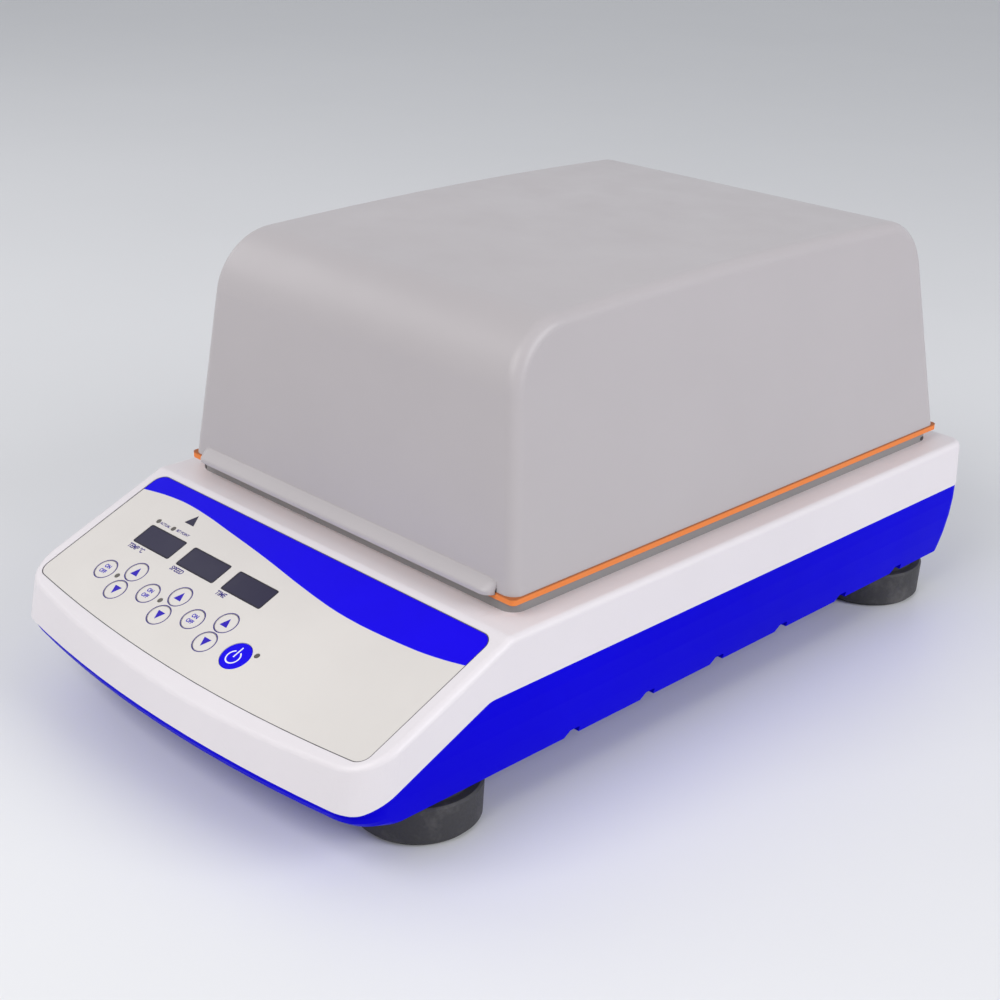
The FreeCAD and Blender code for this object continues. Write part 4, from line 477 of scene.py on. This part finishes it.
# Labels under the displays and at the two indicators over the first: words, x, distance down the
# slope, size and stretch
for words, x, run, size, stretch in (("TEMP °C", -82.8, 45.4, 3.7, 0.84),
                                     ("SPEED", -50.0, 45.4, 3.6, 0.92),
                                     ("TIME", -16.6, 45.3, 3.6, 0.86),
                                     ("ACTUAL", -82.3, 27.6, 2.05, 0.98),
                                     ("SET POINT", -68.8, 27.2, 2.05, 0.98)):
    letters("label_" + words[:4].strip().lower(), words, x, run, size, DARK_INK, shear=0.2,
            stretch=stretch, bold=size * 0.026)

# Keys: a printed ring round each, with an arrow or ON and OFF on its cap
for index, title in enumerate(COLUMNS):
    for kind, shift, run in KEY_PLACES:
        x = COLUMN_FIRST + COLUMN_PITCH * index + shift
        node = "key_%s_%s" % (title, kind)
        print_ring(node + "_ring", x, run, KEY_RING, DARK_INK)
        if kind == "on":
            letters(node + "_word_on", "ON", x - 0.3, run - 1.65, 2.9, ARROW_INK, node,
                    stretch=0.88, bold=0.10)
            letters(node + "_word_off", "OFF", x - 0.3, run + 1.65, 2.9, ARROW_INK, node,
                    stretch=0.88, bold=0.10)
        else:
            way = 1 if kind == "up" else -1
            base, tip = run + 2.1 * way, run - 2.75 * way
            outline = [(x - 2.45, base), (x + 2.45, base), (x, tip)]
            print_shape(node + "_arrow", outline[::way], ARROW_INK, node)

# Power key: white ring with a bar on a blue cap
print_ring("power_ring", POWER_X, POWER_RUN, POWER_RING, WHITE_INK, "key_power", 26, 334)
print_shape("power_bar", [(POWER_X - POWER_BAR, POWER_RUN), (POWER_X + POWER_BAR, POWER_RUN)]
            + corner(POWER_X, POWER_RUN - 5.65, POWER_BAR, 90, -90), WHITE_INK, "key_power")


# Finger lip of the lid: a trim band with rounded ends over the lid's front edge


def lip_station(x, bulge=0.12, proud=0.3, steps=6):
    """The lip's section at one x, as points from its crease round to its back."""
    past = max(0.0, (abs(x) - (LIP_HALF - LIP_REACH)) / LIP_REACH)
    tuck = 1 - math.sqrt(max(0.0, 1 - past * past))
    high = LID_BASE + LIP_TOP - 2.4 * tuck
    edge = LID_FRONT - LIP_REACH * (1 - tuck)
    crease = LID_FRONT + (high - LID_BASE) * LID_FRONT_LEAN - proud
    nose = LID_BASE + 0.9
    section = [(LID_FRONT + 2.4, high - 0.5), (crease + proud + 0.3, high), (crease, high - 0.25)]
    for step in range(1, steps):
        t = step / steps
        swell = 4 * t * (1 - t) * bulge
        section.append((crease + (edge - crease) * t - swell,
                        high - 0.25 + (nose - high + 0.25) * t + swell))
    section += [(edge, nose), (edge - 0.12, nose - 0.5), (edge, LID_BASE - 0.85),
                (edge + 0.3, LID_BASE - 1.0), (LID_FRONT - 0.9, LID_BASE - 1.0),
                (LID_FRONT - 0.8, LID_BASE + 0.3), (LID_FRONT + 2.4, LID_BASE + 0.4)]
    return [Vector((x, y, z)) * MM for y, z in section]


def make_lip():
    """The lip, as sections joined from end to end."""
    ends = [LIP_HALF - LIP_REACH + LIP_REACH * math.sin(math.radians(90 * step / 10))
            for step in range(11)]
    stations = [-x for x in reversed(ends)] + ends
    rows = [lip_station(x) for x in stations]
    count = len(rows[0])
    verts = [spot for row in rows for spot in row]
    faces = [(r * count + i, r * count + (i + 1) % count, (r + 1) * count + (i + 1) % count,
              (r + 1) * count + i) for r in range(len(rows) - 1) for i in range(count)]
    faces += [tuple(range(count)), tuple(range(len(verts) - 1, len(verts) - 1 - count, -1))]
    lip = piece("lid_lip", verts, faces, LID, "lid", smooth=True)
    lip.data.set_sharp_from_angle(angle=math.radians(38))


# Ribs of the tray's mat, screws of the hinge leaves, and two black pads at the rim's corners as
# painted shade in the gaps there

def make_mat_ribs(pitch=6.0, height=0.5, wide=1.6, crest=0.7, margin=5.0):
    """Low ribs across the mat, all in one piece."""
    low, high = (Vector(spot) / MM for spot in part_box("tray_mat"))
    count = int((high.y - low.y - 2 * margin) / pitch)
    first = (low.y + high.y - count * pitch) / 2
    verts, faces = [], []
    for index in range(count + 1):
        y = first + index * pitch
        start = len(verts)
        for x in (low.x + margin, high.x - margin):
            for across, level in ((-wide, -0.1), (-crest, height), (crest, height), (wide, -0.1)):
                verts.append(Vector((x, y + across / 2, high.z + level)) * MM)
        faces += [(start + i, start + i + 4, start + (i + 1) % 4 + 4, start + (i + 1) % 4)
                  for i in range(4)]
        faces += [(start, start + 1, start + 2, start + 3),
                  (start + 7, start + 6, start + 5, start + 4)]
    piece("mat_ribs", verts, faces, MAT, "tray")


def facing(spot, normal):
    """A frame at a point, with its Z along a normal and its Y as near upright as can be."""
    normal = Vector(normal).normalized()
    level = Vector((0, 0, 1)).cross(normal).normalized()
    axes = Matrix((level, normal.cross(level), normal)).transposed().to_4x4()
    return Matrix.Translation(Vector(spot) * MM) @ axes


def socket_screw(name, body, spot, normal, radius=2.0, height=1.1, steps=24):
    """A low round screw head with a six-sided socket, as rings from its foot to the socket."""
    verts, faces = [], []
    rings = ((1.0, -0.1, False), (1.0, 0.35, False), (0.87, 0.8, False), (0.66, 1.0, False),
             (0.44, 1.0, True), (0.42, 0.3, True))
    for wide, level, six_sided in rings:
        for step in range(steps):
            angle = 2 * math.pi * step / steps
            reach = wide * radius
            if six_sided:
                reach /= math.cos((angle % (math.pi / 3)) - math.pi / 6)
            verts.append(Vector((reach * math.cos(angle), reach * math.sin(angle),
                                 level * height)) * MM)
    for ring in range(len(rings) - 1):
        for step in range(steps):
            a, b = ring * steps + step, ring * steps + (step + 1) % steps
            faces.append((a, b, b + steps, a + steps))
    faces += [tuple(range(steps))[::-1], tuple(range(len(verts) - steps, len(verts)))]
    screw = piece(name, verts, faces, SCREW, body, facing(spot, normal), smooth=True)
    screw.data.set_sharp_from_angle(angle=math.radians(35))


def rim_gap_shade(name, spot, normal, half=1.6, rise=1.0, proud=0.15, steps=8):
    """A small black pad with round ends on the rim's upright face: painted shade for the dark gap
    at the rim's corner.
    """
    outline = [(side * (half - rise) + rise * math.cos(angle), rise * math.sin(angle))
               for side, start in ((1, -90), (-1, 90))
               for angle in (math.radians(start + 180 * step / steps)
                             for step in range(steps + 1))]
    verts = [Vector((x, y, level)) * MM for level in (-0.4, proud) for x, y in outline]
    piece(name, verts, prism_faces(len(outline)), BLACK, "base", facing(spot, normal))


make_lip()
make_mat_ribs()
for side, middle in (("left", -LEAF_X), ("right", LEAF_X)):
    for edge, across in (("a", -LEAF_SCREW_ACROSS), ("b", LEAF_SCREW_ACROSS)):
        for number, level in enumerate(LEAF_SCREW_LEVELS):
            y = LEAF_FACE - (level - LID_BASE) * LEAF_LEAN
            socket_screw("leaf_screw_%s_%s_%d" % (side, edge, number), "lid",
                         (middle + across, y, level), (0, 1, LEAF_LEAN))
# Black pads at two rim corners: painted shade standing in for the dark gaps there.
for end, hub, degrees in (("front", (-102.3, -101.5), 247), ("rear", (102.3, 192.2), 8)):
    outward = Vector((math.cos(math.radians(degrees)), math.sin(math.radians(degrees)), 0))
    rim_gap_shade("rim_gap_shade_" + end, Vector((*hub, RIM_GAP_SHADE_LEVEL)) + RIM_CORNER * outward, outward)


# Floor, background and light

floor_mat, floor_tree, floor_shader = new_material("floor_pale")
cloud = noise(floor_tree, 3, 4)
floor_tree.links.new(blend_colour(floor_tree, cloud.outputs["Fac"], (0.74, 0.745, 0.76),
                                  (0.78, 0.785, 0.80)), floor_shader.inputs["Base Color"])
floor_shader.inputs["Roughness"].default_value = 0.45
floor_mesh = bpy.data.meshes.new("floor")
floor_mesh.from_pydata([(-6, -6, 0), (6, -6, 0), (6, 6, 0), (-6, 6, 0)], [], [(0, 1, 2, 3)])
floor_mesh.materials.append(floor_mat)
floor = bpy.data.objects.new("floor", floor_mesh)
floor.location.z = -0.0002
bpy.context.scene.collection.objects.link(floor)

world = bpy.data.worlds.new("studio")
bpy.context.scene.world = world
world.use_nodes = True
sky = world.node_tree
light_sky = sky.nodes["Background"]
light_sky.inputs["Color"].default_value = (0.93, 0.95, 1.0, 1)
light_sky.inputs["Strength"].default_value = 0.41
seen_sky = add(sky, "ShaderNodeBackground", Color=(0.78, 0.80, 0.84, 1), Strength=1.0)
path = add(sky, "ShaderNodeLightPath")
either = add(sky, "ShaderNodeMath", operation="MAXIMUM")
sky.links.new(path.outputs["Is Camera Ray"], either.inputs[0])
sky.links.new(path.outputs["Is Glossy Ray"], either.inputs[1])
both = add(sky, "ShaderNodeMath", operation="MAXIMUM")
sky.links.new(either.outputs[0], both.inputs[0])
sky.links.new(path.outputs["Is Transmission Ray"], both.inputs[1])
choice = add(sky, "ShaderNodeMixShader")
sky.links.new(both.outputs[0], choice.inputs[0])
sky.links.new(light_sky.outputs[0], choice.inputs[1])
sky.links.new(seen_sky.outputs[0], choice.inputs[2])
sky.links.new(choice.outputs[0], sky.nodes["World Output"].inputs["Surface"])


def lamp(name, spot, aim, size, power, colour=(1, 1, 1)):
    """A soft rectangular lamp aimed at a point."""
    data = bpy.data.lights.new(name, "AREA")
    data.shape = "RECTANGLE"
    data.size, data.size_y = size
    data.energy = power
    data.color = colour
    thing = bpy.data.objects.new(name, data)
    thing.location = spot
    thing.rotation_mode = "QUATERNION"
    thing.rotation_quaternion = (Vector(aim) - Vector(spot)).to_track_quat("-Z", "Y")
    bpy.context.scene.collection.objects.link(thing)


lamp("key", (-0.05, -1.45, 1.4), (0, -0.05, 0.08), (1.7, 1.0), 23, (1.0, 0.985, 0.97))
lamp("fill_right", (1.65, 0.45, 0.95), (0, 0.05, 0.1), (1.2, 1.0), 21, (0.98, 0.98, 1.0))
lamp("fill_left", (-1.6, -0.6, 1.1), (0, 0, 0.1), (1.2, 1.0), 5)
